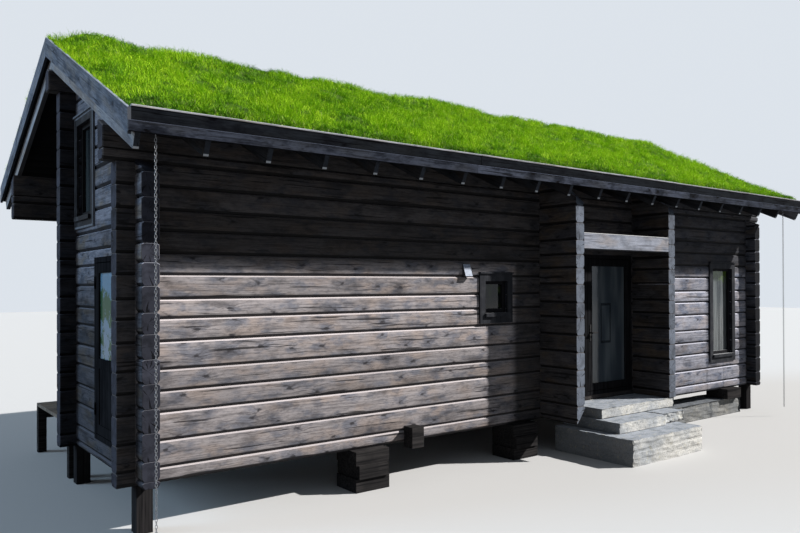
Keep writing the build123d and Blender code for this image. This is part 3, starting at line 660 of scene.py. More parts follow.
gable_door = (FRONT + 0.31, FRONT + 1.27, FLOOR_TOP, FLOOR_TOP + 1.79)
loft_window = (FRONT + 1.348, FRONT + 1.912, 2.818, 3.842)
gable_front = under_roof(-1, UNDER_BOARDS, FRONT - STUB, FRONT + LOG)
gable_rear = under_roof(1, UNDER_BOARDS, BACK + STUB, BACK - LOG)


def shade_low_on_the_gable(made, x, y, z):
    """Painted shade on the lower logs of a gable, fading out between 1.3 and 3 m."""
    return 1 - made.rise(z, 1.3, 3.0)


gable_side = timber_finish(
    "stained_gable_log", (0.20, 0.205, 0.245), (0.095, 0.115, 0.155),
    (0.17, 0.15, 0.135), (0.018, 0.019, 0.025), marks=0.8, gloss=0.08, painted_shade=shade_low_on_the_gable, deep=0.36,
)
gable_logs_left = Stack("gable_logs_left", 12)
lay_logs(
    gable_logs_left, gable_levels, lambda s, d, h: (LEFT + d, s, h),
    gable_front, under_roof(1, UNDER_BOARDS, MID_BACK + STUB, MID_FRONT),
    [gable_door, loft_window], high=GABLE_TOP, seed=2,
)
gable_logs_left.finish([gable_side, log_end], "log_timber", ("gable_left_corner", "gable_left_window_wall"))

gable_logs_right = Stack("gable_logs_right", 13)
lay_logs(
    gable_logs_right, gable_levels, lambda s, d, h: (RIGHT - d, s, h),
    gable_front, gable_rear, [loft_window], high=GABLE_TOP, seed=3,
)
gable_logs_right.finish([gable_side, log_end], "log_timber", ("gable_wall_right",))

# Inner walls by the rear porch, and the rear wall: more of the same logs.
# The middle wall carries the ridge beam, and its stub shows on the left gable.
PORCH_WALL = LEFT + 3.25
RIDGE_LOW = 4.211
upper_levels = [WALL_TOP + rise for rise in (0.2, 0.4, 0.6, 0.8)] + [RIDGE_LOW]
mid_levels = np.concatenate((front_levels, upper_levels))
# Dark copies of the log finish, painted as shade: one for the porch side wall and the wings, and a darker one
# for the middle wall.
shaded_log_side = timber_finish(
    "stained_sheltered_log", (0.080, 0.074, 0.076), (0.045, 0.046, 0.055),
    (0.09, 0.070, 0.055), (0.014, 0.013, 0.013), gloss=0.08,
)
mid_log_painted_shade = timber_finish(
    "stained_middle_log", (0.038, 0.040, 0.049), (0.022, 0.026, 0.034),
    (0.036, 0.034, 0.036), (0.007, 0.007, 0.009), gloss=0.04,
)
mid_logs = Stack("middle_logs", 14)
lay_logs(
    mid_logs, mid_levels, lambda s, d, h: (s, MID_FRONT + d, h), LEFT - STUB, PORCH_WALL + LOG,
    high=RIDGE_LOW, seed=4,
)
mid_logs.finish([mid_log_painted_shade, log_end], "log_timber", ("mid_wall",))

porch_logs = Stack("porch_side_logs", 15)
lay_logs(
    porch_logs, gable_levels, lambda s, d, h: (PORCH_WALL + d, s, h),
    lambda h: MID_FRONT if h <= WALL_TOP else MID_BACK, gable_rear, high=GABLE_TOP, seed=5,
)
porch_logs.finish([shaded_log_side, log_end], "log_timber", ("porch_side_wall",))

rear_beam_bottom = float(front_levels[-2])
rear_windows = [(LEFT + 4.7, LEFT + 5.6, 1.47, 2.37), (LEFT + 7.9, LEFT + 8.8, 1.47, 2.37)]
rear_logs = Stack("rear_logs", 16)
lay_logs(
    rear_logs, front_levels, lambda s, d, h: (s, BACK - d, h), PORCH_WALL - STUB, RIGHT + STUB,
    rear_windows, high=rear_beam_bottom, seed=6,
)
rear_logs.finish([log_side, log_end], "log_timber", ("rear_wall",))

# Top logs and ridge beam: long logs that run on under both verges and carry the rafters,
# beveled on top to the slope of the roof.
TOP_REACH, UNDER_RAFTERS = 0.27, 0.335
low_row, end_chamfer = 0.097, 0.009


def roof_at(y, drop):
    """Height of a line that lies a plumb drop below the verge's top edge."""
    return APEX - SLOPE * abs(y - RIDGE) - drop


top_logs = Stack("long_top_logs", 17)
for inward, low in ((1, WALL_TOP), (-1, rear_beam_bottom)):
    face = FRONT if inward == 1 else BACK
    z0 = WALL_TOP + low_row
    levels = sorted({low, WALL_TOP, z0})
    beveled = [
        (0.022, z0), (0.002, z0 + 0.009), (0.0, z0 + 0.018), (0.0, roof_at(FRONT, UNDER_RAFTERS)),
        (LOG, roof_at(FRONT + LOG, UNDER_RAFTERS)), (LOG, z0 + 0.012), (LOG - 0.022, z0),
    ]
    rows = [(log_section(*pair), 7000 + row) for row, pair in enumerate(zip(levels, levels[1:]))]
    for section, seed in rows + [(beveled, 7100)]:
        top_logs.add(
            section, lambda s, d, h: (s, face + inward * d, h), LEFT - TOP_REACH, RIGHT + TOP_REACH,
            chamfer=end_chamfer, sway=LOG_SWAY, seed=seed + int(low * 10),
        )
top_logs.finish([log_side, log_end], "log_timber", ("top_logs",))

ridge_log = Stack("ridge_log", 18)
half, ease = LOG / 2, 0.006
ridge_top = APEX - UNDER_RAFTERS
ridge_section = [
    (-half + ease, RIDGE_LOW), (-half, RIDGE_LOW + ease), (-half, ridge_top - SLOPE * half), (0.0, ridge_top),
    (half, ridge_top - SLOPE * half), (half, RIDGE_LOW + ease), (half - ease, RIDGE_LOW),
]
ridge_log.add(
    ridge_section, lambda s, d, h: (s, RIDGE + d, h), LEFT - TOP_REACH, RIGHT + TOP_REACH,
    chamfer=end_chamfer, seed=7200,
)
ridge_log.finish([log_side, log_end], "log_timber", ("ridge_beam",))

# Wing walls and lintel: two short log walls shelter the entry, their sawn ends turned to the front.
# A pale weathered timber spans between them, over the doorway.
WING, WING_GAP = 0.59, 0.002
left_wing, right_wing = LEFT + 5.08, LEFT + 7.035
wings = Stack("wing_logs", 19)


def slanted_foot(d, h):
    """The underside of the left wing's lowest log, cut on a slant."""
    return h - SILL - 0.2 * d / LOG


wing_start = under_roof(-1, UNDER_RAFTERS, FRONT - WING, FRONT - WING)
wing_end = end_grain_finish("stained_wing_end", (0.165, 0.190, 0.240), (0.060, 0.068, 0.085))
for seed, place, low, foot in ((8, left_wing, SILL, slanted_foot), (9, right_wing, SILL + LOG, None)):
    lay_logs(
        wings, gable_levels, lambda s, d, h: (place + d, s, h), wing_start, FRONT + WING_GAP,
        low=low, high=roof_at(FRONT, UNDER_RAFTERS) - WING_GAP, foot=foot, seed=seed,
    )
# The wings' sides take the log finish darkened as painted shade.
wings.finish([shaded_log_side, wing_end], "log_timber", ("wing_walls",))


def eased(d0, d1, h0, h1, soft=0.003):
    """The section of a board or beam whose four long edges are eased."""
    return [
        (d0, h0 + soft), (d0, h1 - soft), (d0 + soft, h1), (d1 - soft, h1),
        (d1, h1 - soft), (d1, h0 + soft), (d1 - soft, h0), (d0 + soft, h0),
    ]


lintel_side = timber_finish(
    "lintel_timber", (0.42, 0.45, 0.54), (0.26, 0.29, 0.36),
    (0.42, 0.40, 0.42), (0.12, 0.125, 0.145), marks=0.4
)
lintel = Stack("entry_lintel", 20)
low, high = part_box("lintel_beam")
lintel_section = eased(low.y, low.y + LOG, low.z, high.z, 0.006)
lintel.add(lintel_section, lambda s, d, h: (s, d, h), low.x, high.x, seed=9300)
lintel.finish([lintel_side, lintel_side], "lintel_timber", ("lintel_beam",))

# Rafters and roof boards: sawn rafters with square-cut tails, the last ones flying under the verges,
# and rows of boards on top of them that carry the turf.
# The rafters and roof boards are dark stained and darkened further as painted shade.
rafter_side_painted_shade = timber_finish(
    "rafter_timber", (0.040, 0.042, 0.048), (0.024, 0.028, 0.035),
    (0.036, 0.032, 0.030), (0.008, 0.008, 0.009), gloss=0.06,
)
# The rafter ends get a pale strip of painted sunlight along their lowest edge.
rafter_end = end_grain_finish(
    "rafter_end", (0.034, 0.041, 0.054), (0.012, 0.014, 0.019), foot=(0.46, 0.49, 0.53)
)
flying_side = timber_finish(
    "flying_rafter", (0.30, 0.31, 0.34), (0.19, 0.21, 0.25),
    (0.30, 0.27, 0.25), (0.07, 0.07, 0.08), marks=0.5
)
FLYING = -LEFT + 0.2
RAFTER_STEP, RAFTER_HALF, RAFTER_RUN = 0.564, 0.024, 2.805
rafter_places = [RAFTER_STEP * number - FLYING for number in range(int(2 * FLYING // RAFTER_STEP))] + [FLYING]


def slope_place(side):
    """Places a point by its x, its run down the slope from the ridge and its plumb drop."""
    return lambda run, x, drop: (x, RIDGE + side * run, APEX - SLOPE * run - drop)


def rafter_tail(drop):
    """The square cut at a rafter's low end."""
    return RAFTER_RUN - 0.0569 * (drop - UNDER_BOARDS) / (UNDER_RAFTERS - UNDER_BOARDS)


for name, side in (("rafters_front", -1), ("rafters_rear", 1)):
    rafters = Stack(name + "_timber", 21 + side)
    for x in rafter_places:
        rafters.add(
            eased(x - RAFTER_HALF, x + RAFTER_HALF, UNDER_BOARDS, UNDER_RAFTERS),
            slope_place(side), 0.001, rafter_tail, step=0.7, chamfer=0.003, coat=2 if abs(x) > -LEFT else 0,
        )
    rafters.finish([rafter_side_painted_shade, rafter_end, flying_side], "roof_timber", (name,))

VERGE_FACE, VERGE_THICK = -LEFT + 0.285, 0.028
roof_half = VERGE_FACE - VERGE_THICK
BOARD_WIDE, BOARD_TOP, BOARD_COUNT = 0.141, 0.161, 20
board_gap, groove = 0.0015, 0.004
for name, side in (("roof_boards_front", -1), ("roof_boards_rear", 1)):
    boards = Stack(name + "_planks", 25 + side)
    place = slope_place(side)
    for number in range(BOARD_COUNT):
        high_run, low_run = number * BOARD_WIDE + board_gap, (number + 1) * BOARD_WIDE - board_gap
        boards.add(
            [(low_run, BOARD_TOP), (low_run, UNDER_BOARDS - groove), (low_run - groove, UNDER_BOARDS),
             (high_run + groove, UNDER_BOARDS), (high_run, UNDER_BOARDS - groove), (high_run, BOARD_TOP)],
            lambda x, run, drop: place(run, x, drop), -roof_half, roof_half, step=1.8,
        )
    boards.finish([rafter_side_painted_shade, rafter_end], "roof_timber", (name,))

# Roof trim: slate-grey stained boards. A verge board runs down each slope at both gables,
# and a fascia hides the board ends at the eaves.
verge_side = timber_finish(
    "verge_board", (0.185, 0.205, 0.25), (0.07, 0.088, 0.12),
    (0.18, 0.18, 0.19), (0.016, 0.019, 0.027), gloss=0.08
)
fascia_side = timber_finish(
    "fascia_board", (0.056, 0.066, 0.094), (0.012, 0.015, 0.024),
    (0.050, 0.056, 0.072), (0.002, 0.002, 0.003), marks=1.3, gloss=0.03,
)
trim_end = end_grain_finish("slate_board_end", (0.09, 0.10, 0.12), (0.03, 0.033, 0.040))


def plank(stack, x_range, y_range, z_range, along="x", soft=0.003, step=1.2, sway=0.0):
    """A board or beam that lies or stands along one axis."""
    ranges = {"x": x_range, "y": y_range, "z": z_range}
    start, end = ranges.pop(along)
    (d0, d1), (h0, h1) = ranges.values()
    places = {"x": lambda s, d, h: (s, d, h), "z": lambda s, d, h: (d, h, s)}
    stack.add(eased(d0, d1, h0, h1, soft), places[along], start, end, step=step, sway=sway)


verges = Stack("verge_planks", 27)
for face in (-VERGE_FACE, roof_half):
    for side in (-1, 1):
        verges.add(
            eased(face, face + VERGE_THICK, 0.0, 0.205), slope_place(side), 0.0, 2.825, step=0.5, sway=0.001
        )
verges.finish([verge_side, trim_end], "roof_trim_boards", ("verge_boards",))

low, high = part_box("fascias")
eave_planks = Stack("fascia_planks", 28)
fascia_thick, fascia_joints = 0.025, ((low.x, -1.9), (-1.897, 2.1), (2.103, high.x))
for y0 in (low.y, high.y - fascia_thick):
    for x_range in fascia_joints:
        plank(eave_planks, x_range, (y0, y0 + fascia_thick), (low.z, high.z), sway=0.001)
eave_planks.finish([fascia_side, trim_end], "roof_trim_boards", ("fascias",))

# Turf: a bed of soil and roots on each slope, uneven on top, with long unmown grass growing from it.
# Each blade is a curved strip of two segments and a tip.
soil = Finish("turf_soil")
soil_place = soil.here()
soil_green = [(0.3, (0.035, 0.070, 0.010)), (0.55, (0.085, 0.180, 0.014)), (0.8, (0.16, 0.30, 0.022))]
soil_colour = soil.node("ValToRGB", {"stops": soil_green}, {0: soil.noise(soil_place, 9.0, 6.0, 0.65)})
soil.set(Base_Color=soil_colour, Roughness=0.95, Specular_IOR_Level=0.1)
soil.bump(soil.noise(soil_place, 40.0), 0.8, 0.02)

grass = Finish("grass_blade")
grass_up, grass_tone, grass_dry = grass.carried("blade")
grass_green = [(0.0, (0.010, 0.045, 0.006)), (0.26, (0.055, 0.19, 0.008)), (0.56, (0.25, 0.50, 0.013)),
               (1.0, (0.60, 0.82, 0.04))]
# The colour darkens towards each blade's root, as painted shade among the blades.
grass_colour = grass.node("ValToRGB", {"stops": grass_green}, {0: grass_tone * 0.62 + grass_up * 0.38})
grass_colour = grass.mixed(grass_dry, grass_colour, (0.55, 0.52, 0.25))
grass.set(Base_Color=grass_colour, Roughness=0.65, Specular_IOR_Level=0.06)

RUN = 2.75
BED_DROP, BED_THICK = 0.02, 0.139
BED_TOP, ROOT_TOP, TIP_TOP = 4.905, 4.90, (4.915, 4.937)


def lumps(x, run, seed):
    """How far the turf stands above its even bed, in metres."""
    waves = np.random.default_rng(seed)
    height = np.zeros_like(x)
    for size, reach in ((2.6, 0.016), (1.1, 0.019), (0.45, 0.015), (0.2, 0.008)):
        for _ in range(5):
            turn, phase = waves.uniform(0, math.pi), waves.uniform(0, 2 * math.pi)
            across = x * math.cos(turn) + run * math.sin(turn)
            height += reach * np.sin(across * 2 * math.pi / size + phase) / 2.2
    return height


def crown(run):
    """The extra height of the turf where both slopes meet over the ridge, and its swell half way down."""
    return 0.105 * np.exp(-(run / 0.7) ** 2) + 0.03 * np.sin(np.clip(run / RUN, 0, 1) * math.pi)


def turf_rise(x, run):
    """How far the bed stands above its even plane: it thins out towards the verges and the eave."""
    rim = np.clip(np.minimum((roof_half + x) / 0.45, (roof_half - x) / 0.16), 0.0, 1.0)
    rim = rim * rim * (3 - 2 * rim)
    uneven = lumps(x, run, 31) * np.clip((RUN - run) / 0.25, 0.3, 1.0)
    return (uneven + crown(run)) * (0.1 + 0.9 * rim) - 0.02 * (1 - rim)


def turf_bed(name, side, node):
    """The bed of one slope, closed underneath."""
    across, down = 150, 42
    xs, runs = np.linspace(-roof_half, roof_half, across + 1), np.linspace(0, RUN, down + 1)
    grid_x, grid_run = np.meshgrid(xs, runs)
    rise = turf_rise(grid_x, grid_run)
    points = [
        (x, RIDGE + side * run, min(APEX - SLOPE * run - BED_DROP + up, BED_TOP))
        for x, run, up in zip(grid_x.ravel(), grid_run.ravel(), rise.ravel())
    ]
    top = len(points)
    points += [(x, y, APEX - SLOPE * abs(y - RIDGE) - BED_DROP - BED_THICK) for x, y, _ in points]
    wide = across + 1
    corners = [j * wide + i for j in range(down) for i in range(across)]
    faces = [(a, a + 1, a + 1 + wide, a + wide) for a in corners]
    rim = list(range(wide)) + [j * wide + across for j in range(1, down + 1)]
    rim += [down * wide + i for i in range(across - 1, -1, -1)] + [j * wide for j in range(down - 1, 0, -1)]
    for a, b in zip(rim, rim[1:] + rim[:1]):
        faces.append((a, b, b + top, a + top))
    faces.append(tuple(top + a for a in rim))
    mesh = bpy.data.meshes.new(name)
    mesh.from_pydata(points, [], faces)
    mesh.materials.append(soil.material)
    tie(name, mesh, "turf", (node,), angle=60)


def grass_patch(name, side, x0, x1, count, seed):
    """A field of blades between two places along the ridge."""
    chance = np.random.default_rng(seed)
    members = 20
    tufts = count // members
    count = tufts * members
    centre_x, centre_run = chance.uniform(x0, x1, tufts), chance.uniform(0.0, RUN, tufts)
    edge = tufts // 8
    centre_run[:edge] = RUN - 0.01 - np.abs(chance.normal(0, 0.04, edge))
    rim = slice(edge, edge + tufts // 30)
    near = np.abs(chance.normal(0, 0.03, centre_x[rim].size))
    centre_x[rim] = np.where(chance.random(near.size) < 0.5, x0 + near, x1 - near)
    size = np.repeat(chance.uniform(0.025, 0.075, tufts), members)
    tuft_tone = np.repeat(chance.normal(0, 0.11, tufts), members)
    turn, reach = chance.uniform(0, 2 * math.pi, count), np.sqrt(chance.random(count))
    inside = roof_half - 0.004
    x = np.clip(np.repeat(centre_x, members) + size * reach * np.cos(turn), -inside, inside)
    run = np.clip(np.repeat(centre_run, members) + size * reach * np.sin(turn), 0.0, RUN - 0.003)
    patch = lumps(x * 0.8 + 7, run * 0.8, 36) / 0.034
    fine_patch = lumps(x * 2.3 + 3, run * 2.3, 37) / 0.034
    height = (0.074 + 0.014 * patch + 0.016 * fine_patch) * chance.uniform(0.55, 1.2, count)
    height = np.clip(height * (0.8 + 4.0 * size), 0.03, 0.125)
    lean_turn = turn * -side + chance.normal(0, 0.5, count)
    lean = (0.35 + 0.85 * reach) * chance.uniform(0.5, 1.5, count) * height
    width = chance.uniform(0.0024, 0.0050, count)
    twist = chance.uniform(0, 2 * math.pi, count)
    root = np.minimum(APEX - SLOPE * run - BED_DROP - 0.004 + turf_rise(x, run), ROOT_TOP)
    base = np.stack((x, RIDGE + side * run, root), axis=1)
    height = np.minimum(height, chance.uniform(*TIP_TOP, count) - root)
    over_verge, over_eave, least = 0.05, 0.025, 0.02
    lean = np.minimum(lean, np.maximum(roof_half + over_verge - np.abs(x), least))
    lean = np.minimum(lean, np.maximum(RUN + over_eave - run, least))
    level = np.zeros(count)
    out = np.stack((np.cos(lean_turn), np.sin(lean_turn), level), axis=1) * lean[:, None]
    flat = np.stack((np.cos(twist), np.sin(twist), level), axis=1) * width[:, None] / 2
    up = np.array((0.0, 0.0, 1.0))
    low_mid = base + out * 0.18 + up * (height * 0.45)[:, None]
    high_mid = base + out * 0.55 + up * (height * 0.80)[:, None]
    tip = base + out + up * (height * 0.86)[:, None]
    points = np.stack((base - flat, base + flat, high_mid - flat * 0.8, high_mid + flat * 0.8, tip), axis=1)
    points[:, 2:4] += (low_mid - high_mid)[:, None] * 0.25
    faces = []
    for k in range(0, count * 5, 5):
        faces += [(k, k + 1, k + 3, k + 2), (k + 2, k + 3, k + 4)]
    mesh = bpy.data.meshes.new(name)
    mesh.from_pydata(points.reshape(-1, 3).tolist(), [], faces, shade_flat=False)
    low = np.clip((run - (RUN - 0.35 + 0.12 * fine_patch)) / 0.3, 0, 1)
    tone = 0.65 + 0.18 * patch + 0.20 * fine_patch + tuft_tone - 0.36 * low - 0.22 * (reach - 0.6)
    tone = tone + 0.20 * np.clip((x + 3.0) / 6.0, 0, 1)
    tone = np.clip(tone + chance.normal(0, 0.13, count), 0, 1)
    dry = (chance.random(count) < 0.02 + 0.10 * low) * chance.uniform(0.3, 0.9, count)
    rise = np.tile((0.0, 0.0, 0.7, 0.7, 1.0), count)
    marks = np.stack((rise, np.repeat(tone, 5), np.repeat(dry, 5)), axis=1)
    layer = mesh.attributes.new("blade", "FLOAT_VECTOR", "POINT")
    layer.data.foreach_set("vector", marks.astype(np.float32).ravel())
    mesh.materials.append(grass.material)
    tie(name, mesh, "turf", angle=None)


turf_bed("turf_bed_front", -1, "turf_front")
turf_bed("turf_bed_rear", 1, "turf_rear")
blades = 50000
for number in range(4):
    x0 = -roof_half + roof_half * number / 2
    grass_patch("grass_front_%d" % (number + 1), -1, x0, x0 + roof_half / 2, blades, 310 + number)
grass_patch("grass_rear", 1, -roof_half, roof_half, int(blades * 1.2), 340)

# Boards that hold the turf at the eaves: boards on edge that stand up behind the fascia, tarred dark
# and painted darker still as painted shade, with a pale worn strip along the top that the grass hangs over.
turf_plank_tar_and_shade = timber_finish(
    "turf_board", (0.013, 0.016, 0.021), (0.005, 0.006, 0.009), (0.012, 0.014, 0.017), (0.001, 0.001, 0.002),
    gloss=0.02,
)
strip_side = timber_finish(
    "worn_strip", (0.34, 0.35, 0.38), (0.17, 0.18, 0.21),
    (0.36, 0.33, 0.30), (0.08, 0.08, 0.085), marks=0.5
)
low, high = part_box("turf_boards")
turf_planks, strips = Stack("turf_planks", 36), Stack("turf_strips", 37)
thick, strip, overhang, joint = 0.036, 0.017, 0.006, 0.0015
for y0, outer in ((low.y, -1), (high.y - thick, 1)):
    for number in range(3):
        x0 = low.x + (high.x - low.x) * number / 3 + joint
        x1 = low.x + (high.x - low.x) * (number + 1) / 3 - joint
        plank(turf_planks, (x0, x1), (y0, y0 + thick), (low.z, high.z - strip), sway=0.001)
        ledge = (y0 - overhang, y0 + thick) if outer < 0 else (y0, y0 + thick + overhang)
        plank(strips, (x0, x1), ledge, (high.z - strip, high.z), sway=0.0015, step=0.5)
turf_planks.finish([turf_plank_tar_and_shade, turf_plank_tar_and_shade], "roof_trim_boards", ("turf_boards",))
strips.finish([strip_side, strip_side], "roof_trim_boards")

# Doors: stained softwood frames and leaves, the entry leaf with one full pane and the gable leaf with
# a pane over a panel, hung on pin hinges, with long back plates and straight levers of dark iron.
leaf_wood = placed_wood("door_leaf_timber", (0.018, 0.018, 0.020), (0.005, 0.005, 0.006), "z")
for node in ("front_door_frame", "front_door_leaf", "gable_door_frame", "gable_door_leaf"):
    dress(node, leaf_wood)


def pane_finish(name, sheen, view, bend=1.5):
    """Glass with soft waves whose colour is painted: view(finish, x, y, z) paints the reflection seen in it
    or the dim room behind it.
    """
    made = Finish(name)
    spot = made.here()
    made.set(
        Base_Color=view(made, *made.parts(spot)), Roughness=0.04 + made.noise(spot, 2.0, 3.0, 0.5) * 0.08,
        Transmission_Weight=0.35, IOR=bend, Specular_IOR_Level=sheen,
    )
    made.bump(made.noise(spot, 3.0, 2.0, 0.5), 0.15, 0.004)
    return made


def across_the_room(made, x, y, z):
    """Painted on the pane: a dark room behind it in painted shade, the bars of its far window in the middle,
    and paler edges as painted reflection.
    """
    aside, above = made.size(x - (LEFT + 6.44)), made.size(z - 1.60)
    bars = 1 - made.rise(made.size(aside - 0.10), 0.008, 0.016)
    rails = 1 - made.rise(made.size(above - 0.26), 0.012, 0.022)
    near = 1 - made.rise(aside, 0.105, 0.115)
    between = 1 - made.rise(above, 0.265, 0.28)
    edges = made.rise(made.size(x - (LEFT + 6.49)), 0.35, 0.38)
    haze = made.noise((x * 5.0, 0.0, z * 0.9), 1.0, 2.0, 0.5)
    colour = made.over((0.060, 0.078, 0.098), (0.14, 0.165, 0.185), haze, 0.35, 0.7)
    colour = made.mixed(made.larger(bars * between, rails * near) * 0.75, colour, (0.018, 0.024, 0.032))
    return made.mixed(edges * 0.6, colour, (0.15, 0.17, 0.18))


def mirrored_shore(made, x, y, z):
    """The gable door's pane mirrors pale water, with leaves across its middle."""
    leaf = made.noise(made.here(), 9.0, 5.0, 0.7)
    thick = made.rise(z, 1.72, 1.86) * (1 - made.rise(z, 2.02, 2.14))
    water = made.over((0.25, 0.31, 0.38), (0.15, 0.27, 0.38), z, 1.5, 2.1)
    spread = made.rise(leaf + thick * 0.10, 0.50, 0.56) * (1 - made.rise(z, 2.08, 2.18))
    return made.mixed(spread * 0.9, water, (0.045, 0.105, 0.03))


dress("front_door_glass", pane_finish("entry_pane", 0.22, across_the_room))
dress("gable_door_glass", pane_finish("gable_door_pane", 0.06, mirrored_shore, 1.12))

iron = Finish("dark_iron")
iron_wear = iron.noise(iron.here(), 30.0)
iron_colour = iron.over((0.03, 0.03, 0.032), (0.09, 0.085, 0.08), iron_wear, 0.5, 0.7)
iron.set(Base_Color=iron_colour, Roughness=0.35 + iron_wear * 0.25, Metallic=0.9)
dress("front_door_handle", iron)
dress("gable_door_handle", iron)


# Windows: flat casing boards round each opening, a sash with one fixed pane set back in it,
# and a drip board over and a sill under it.
def window_finish():
    """Dark stained window wood, with paler casings, a pale rim round the loft windows and tops painted pale
    as painted sunlight.
    """
    made = Finish("window_timber")
    spot = made.here()
    x, y, z = made.parts(spot)
    proud = made.larger(made.size(x) - RIGHT, made.larger(FRONT - y, y - BACK))
    casing, in_gable = made.rise(proud, 0.0, 0.003), made.rise(made.size(x), 5.10, 5.15)
    brushed = made.noise((x * 55.0, y * 55.0, z * 2.2))
    worn = made.noise(spot, 7.0)
    colour = made.mixed(casing, (0.010, 0.010, 0.012), (0.026, 0.028, 0.034))
    colour = colour * (1 - in_gable * 0.6)
    colour = made.mixed(made.rise(worn, 0.45, 0.7) * casing * 0.7, colour, (0.062, 0.064, 0.072))
    y0, y1, z0, z1 = loft_window
    board, rim = 0.078, 0.020
    inner = board - rim
    beside = made.larger(y0 - inner - y, y - y1 - inner)
    level = made.larger(z0 - inner - z, z - z1 - inner)
    on_rim = made.rise(made.larger(beside, level), -0.003, 0.002) * in_gable
    colour = made.mixed(on_rim * 0.85, colour, (0.16, 0.175, 0.205))
    # Painted sunlight: surfaces that face up are painted pale.
    colour = made.over(colour, (0.38, 0.39, 0.41), made.facing("Z"), 0.5, 0.8, 0.8)
    colour = made.over(colour, (0.010, 0.010, 0.012), brushed, 0.4, 0.7, 0.6)
    made.set(Base_Color=colour, Roughness=0.6 + worn * 0.2, Specular_IOR_Level=0.06)
    made.bump(brushed, 0.3, 0.002)
    return made


dress("windows", window_finish())


def pieces_of(node):
    """The lowest and highest corners of each separate solid in a node."""
    work = bmesh.new()
    work.from_mesh(packed(node).data)
    bmesh.ops.remove_doubles(work, verts=work.verts, dist=1e-5)
    waiting, boxes = set(work.verts), []
    while waiting:
        reached = [waiting.pop()]
        low, high = reached[0].co.copy(), reached[0].co.copy()
        while reached:
            corner = reached.pop()
            for axis in range(3):
                low[axis], high[axis] = min(low[axis], corner.co[axis]), max(high[axis], corner.co[axis])
            for edge in corner.link_edges:
                other = edge.other_vert(corner)
                if other in waiting:
                    waiting.discard(other)
                    reached.append(other)
        boxes.append((tuple(low), tuple(high)))
    work.free()
    return sorted(boxes)


def dim_room(made, x, y, z):
    """Painted on the pane: a dark room behind it in painted shade, a little lighter low down."""
    folds = made.noise((x * 12.0, y * 12.0, z * 0.5), 1.0, 2.0, 0.5)
    return made.over((0.035, 0.047, 0.058), (0.12, 0.145, 0.155), folds, 0.38, 0.68) * (1.25 - 0.25 * z)


def curtained(made, x, y, z):
    """Pale curtains hang in folds behind the tall pane, and leaves mirror green in its top."""
    folds = made.noise((x * 16.0, 0.0, z * 0.8), 1.0, 3.0, 0.6)
    cloth = made.over((0.035, 0.045, 0.050), (0.20, 0.22, 0.225), folds, 0.38, 0.64)
    leaves = z + made.noise(made.here(), 14.0, 3.0, 0.6) * 0.3
    return made.over(cloth, (0.11, 0.17, 0.035), leaves, 2.28, 2.46)


def mirrored_leaves(made, x, y, z):
    """A small dark pane with a pale strip at its left and the green of leaves in it."""
    strip_of_light = 1 - made.rise(x, LEFT + 4.185, LEFT + 4.20)
    leaf = made.noise(made.here(), 11.0)
    colour = made.over((0.010, 0.014, 0.014), (0.05, 0.075, 0.02), leaf, 0.5, 0.62, 0.6)
    return made.mixed(strip_of_light * 0.7, colour, (0.16, 0.18, 0.17))


panes = {
    "loft_panes": (Stack("loft_panes", 43), pane_finish("loft_pane", 0.06, dim_room)),
    "small_pane": (Stack("small_pane", 44), pane_finish("small_front_pane", 0.22, mirrored_leaves)),
    "tall_pane": (Stack("tall_pane", 45), pane_finish("tall_front_pane", 0.40, curtained)),
    "rear_panes": (Stack("rear_panes", 46), pane_finish("rear_pane", 0.40, dim_room)),
}
for low, high in pieces_of("window_glass"):
    if max(abs(low[0]), abs(high[0])) > RIGHT - LOG:
        kind = "loft_panes"
    elif low[1] > 0:
        kind = "rear_panes"
    else:
        kind = "small_pane" if high[0] < 0 else "tall_pane"
    plank(panes[kind][0], *zip(low, high), along="z", soft=0.0015, step=0.3)
for kind, (stack, finish) in panes.items():
    stack.finish([finish, finish], "glass", ("window_glass",) if kind == "loft_panes" else ())

# Floor and porch: planed boards inside, laid along the cabin in both rooms,
# and a deck of heavier boards on two beams under the rear porch.
floor_side = timber_finish(
    "floor_board", (0.42, 0.31, 0.19), (0.30, 0.20, 0.11),
    (0.46, 0.33, 0.18), (0.20, 0.13, 0.07), rough=0.5, bump=0.2
)


def lay_boards(stack, x_range, y_range, z_range, wide, gap, step, soft=0.003):
    """Boards side by side over a floor, of one width near the wide one; x_range(y) gives their ends."""
    y0, y1 = y_range
    count = int((y1 - y0) // wide)
    for number in range(count):
        y = y0 + (y1 - y0) * number / count
        plank(stack, x_range(y), (y + gap, y + (y1 - y0) / count - gap), z_range, soft=soft, step=step)


floor_planks = Stack("floor_planks", 41)
low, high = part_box("floor")
for x0, y_range in ((low.x, (low.y, MID_FRONT)), (PORCH_WALL + LOG, (MID_FRONT, high.y))):
    lay_boards(floor_planks, lambda y: (x0, high.x), y_range, (low.z, high.z), 0.128, 0.0005, 3.0, 0.001)
floor_planks.finish([floor_side, floor_side], "floor_timber", ("floor",))

deck_side = timber_finish(
    "deck_board", (0.20, 0.17, 0.14), (0.12, 0.115, 0.11), (0.22, 0.17, 0.12), (0.06, 0.05, 0.045)
)
deck = Stack("porch_deck_planks", 42)
low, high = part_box("porch_deck")


def deck_ends(y):
    """The first boards stop inside the gable's stub, the others run out to the deck's edge."""
    return (low.x if y > MID_BACK + STUB else LEFT + LOG, high.x)


lay_boards(deck, deck_ends, (MID_BACK, high.y), (low.z, high.z), 0.125, 0.002, 1.2)
deck.finish([deck_side, deck_side], "floor_timber", ("porch_deck",))

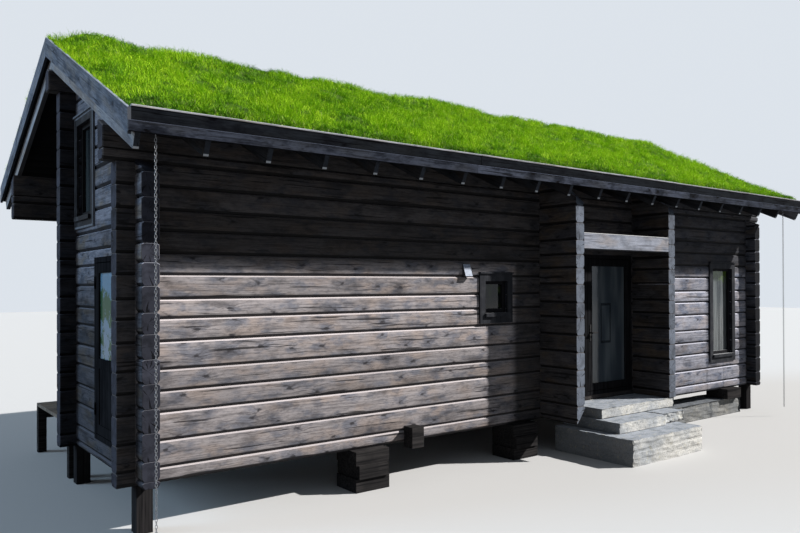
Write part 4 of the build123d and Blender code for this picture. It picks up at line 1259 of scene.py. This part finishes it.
# Rain chains: galvanised links that lead the water from each end of the eave to the ground.
# Each link is bent from round wire and hangs in the one above, a quarter turn from it.
zinc = Finish("galvanised_link")
zinc_spangle = zinc.noise(zinc.here(), 90.0, 3.0, 0.6)
zinc_colour = zinc.over((0.24, 0.25, 0.27), (0.09, 0.09, 0.09), zinc_spangle, 0.4, 0.65)
zinc.set(Base_Color=zinc_colour, Roughness=0.45 + zinc_spangle * 0.25, Metallic=0.6)


def chain(name, x, y, low, high):
    """A chain of oval links between two heights."""
    length, wide, wire, pitch = 0.036, 0.023, 0.005, 0.0268
    around, sides = 14, 5
    points, faces = [], []
    for number in range(int((high - low - length) / pitch) + 1):
        centre = high - length / 2 - number * pitch
        base = len(points)
        for i in range(around):
            turn = 2 * math.pi * i / around
            out, up = math.cos(turn), math.sin(turn)
            straight = (length - wide) / 2 * (1 if up > 0 else -1 if up < 0 else 0)
            for j in range(sides):
                swing = 2 * math.pi * j / sides
                reach = (wide - wire) / 2 + wire / 2 * math.cos(swing)
                a, b, c = reach * out, wire / 2 * math.sin(swing), reach * up + straight
                points.append((x + a, y + b, centre + c) if number % 2 else (x + b, y + a, centre + c))
                k, m = (i + 1) % around, (j + 1) % sides
                faces.append(tuple(base + p * sides + q for p, q in ((i, j), (k, j), (k, m), (i, m))))
    mesh = bpy.data.meshes.new(name)
    mesh.from_pydata(points, [], faces)
    mesh.materials.append(zinc.material)
    return tie(name, mesh, "chain_steel", angle=60)


low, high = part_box("rain_chains")
chain_y, half = (low.y + high.y) / 2, (high.y - low.y) / 2
left_chain = chain("left_rain_chain", low.x + half, chain_y, low.z, high.z)
chain("right_rain_chain", high.x - half, chain_y, low.z, high.z)
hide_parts("rain_chains")

# Lamp: a small housing of painted metal beside the small window, whose slanted face looks up and away
# from the wall. That face is painted blue-grey as a painted reflection of the sky, and the rest is dark.
lamp_metal = Finish("lamp_metal")
lamp_dust = lamp_metal.noise(lamp_metal.here(), 45.0)
lamp_panel_sky_reflection = lamp_metal.over((0.27, 0.32, 0.42), (0.18, 0.215, 0.29), lamp_dust, 0.45, 0.7)
lamp_colour = lamp_metal.over((0.035, 0.037, 0.042), lamp_panel_sky_reflection, 0.0 - lamp_metal.facing("Y"), 0.45, 0.6)
lamp_metal.set(Base_Color=lamp_colour, Roughness=0.4 + lamp_dust * 0.2, Specular_IOR_Level=0.3)
dress("wall_lamp", lamp_metal)
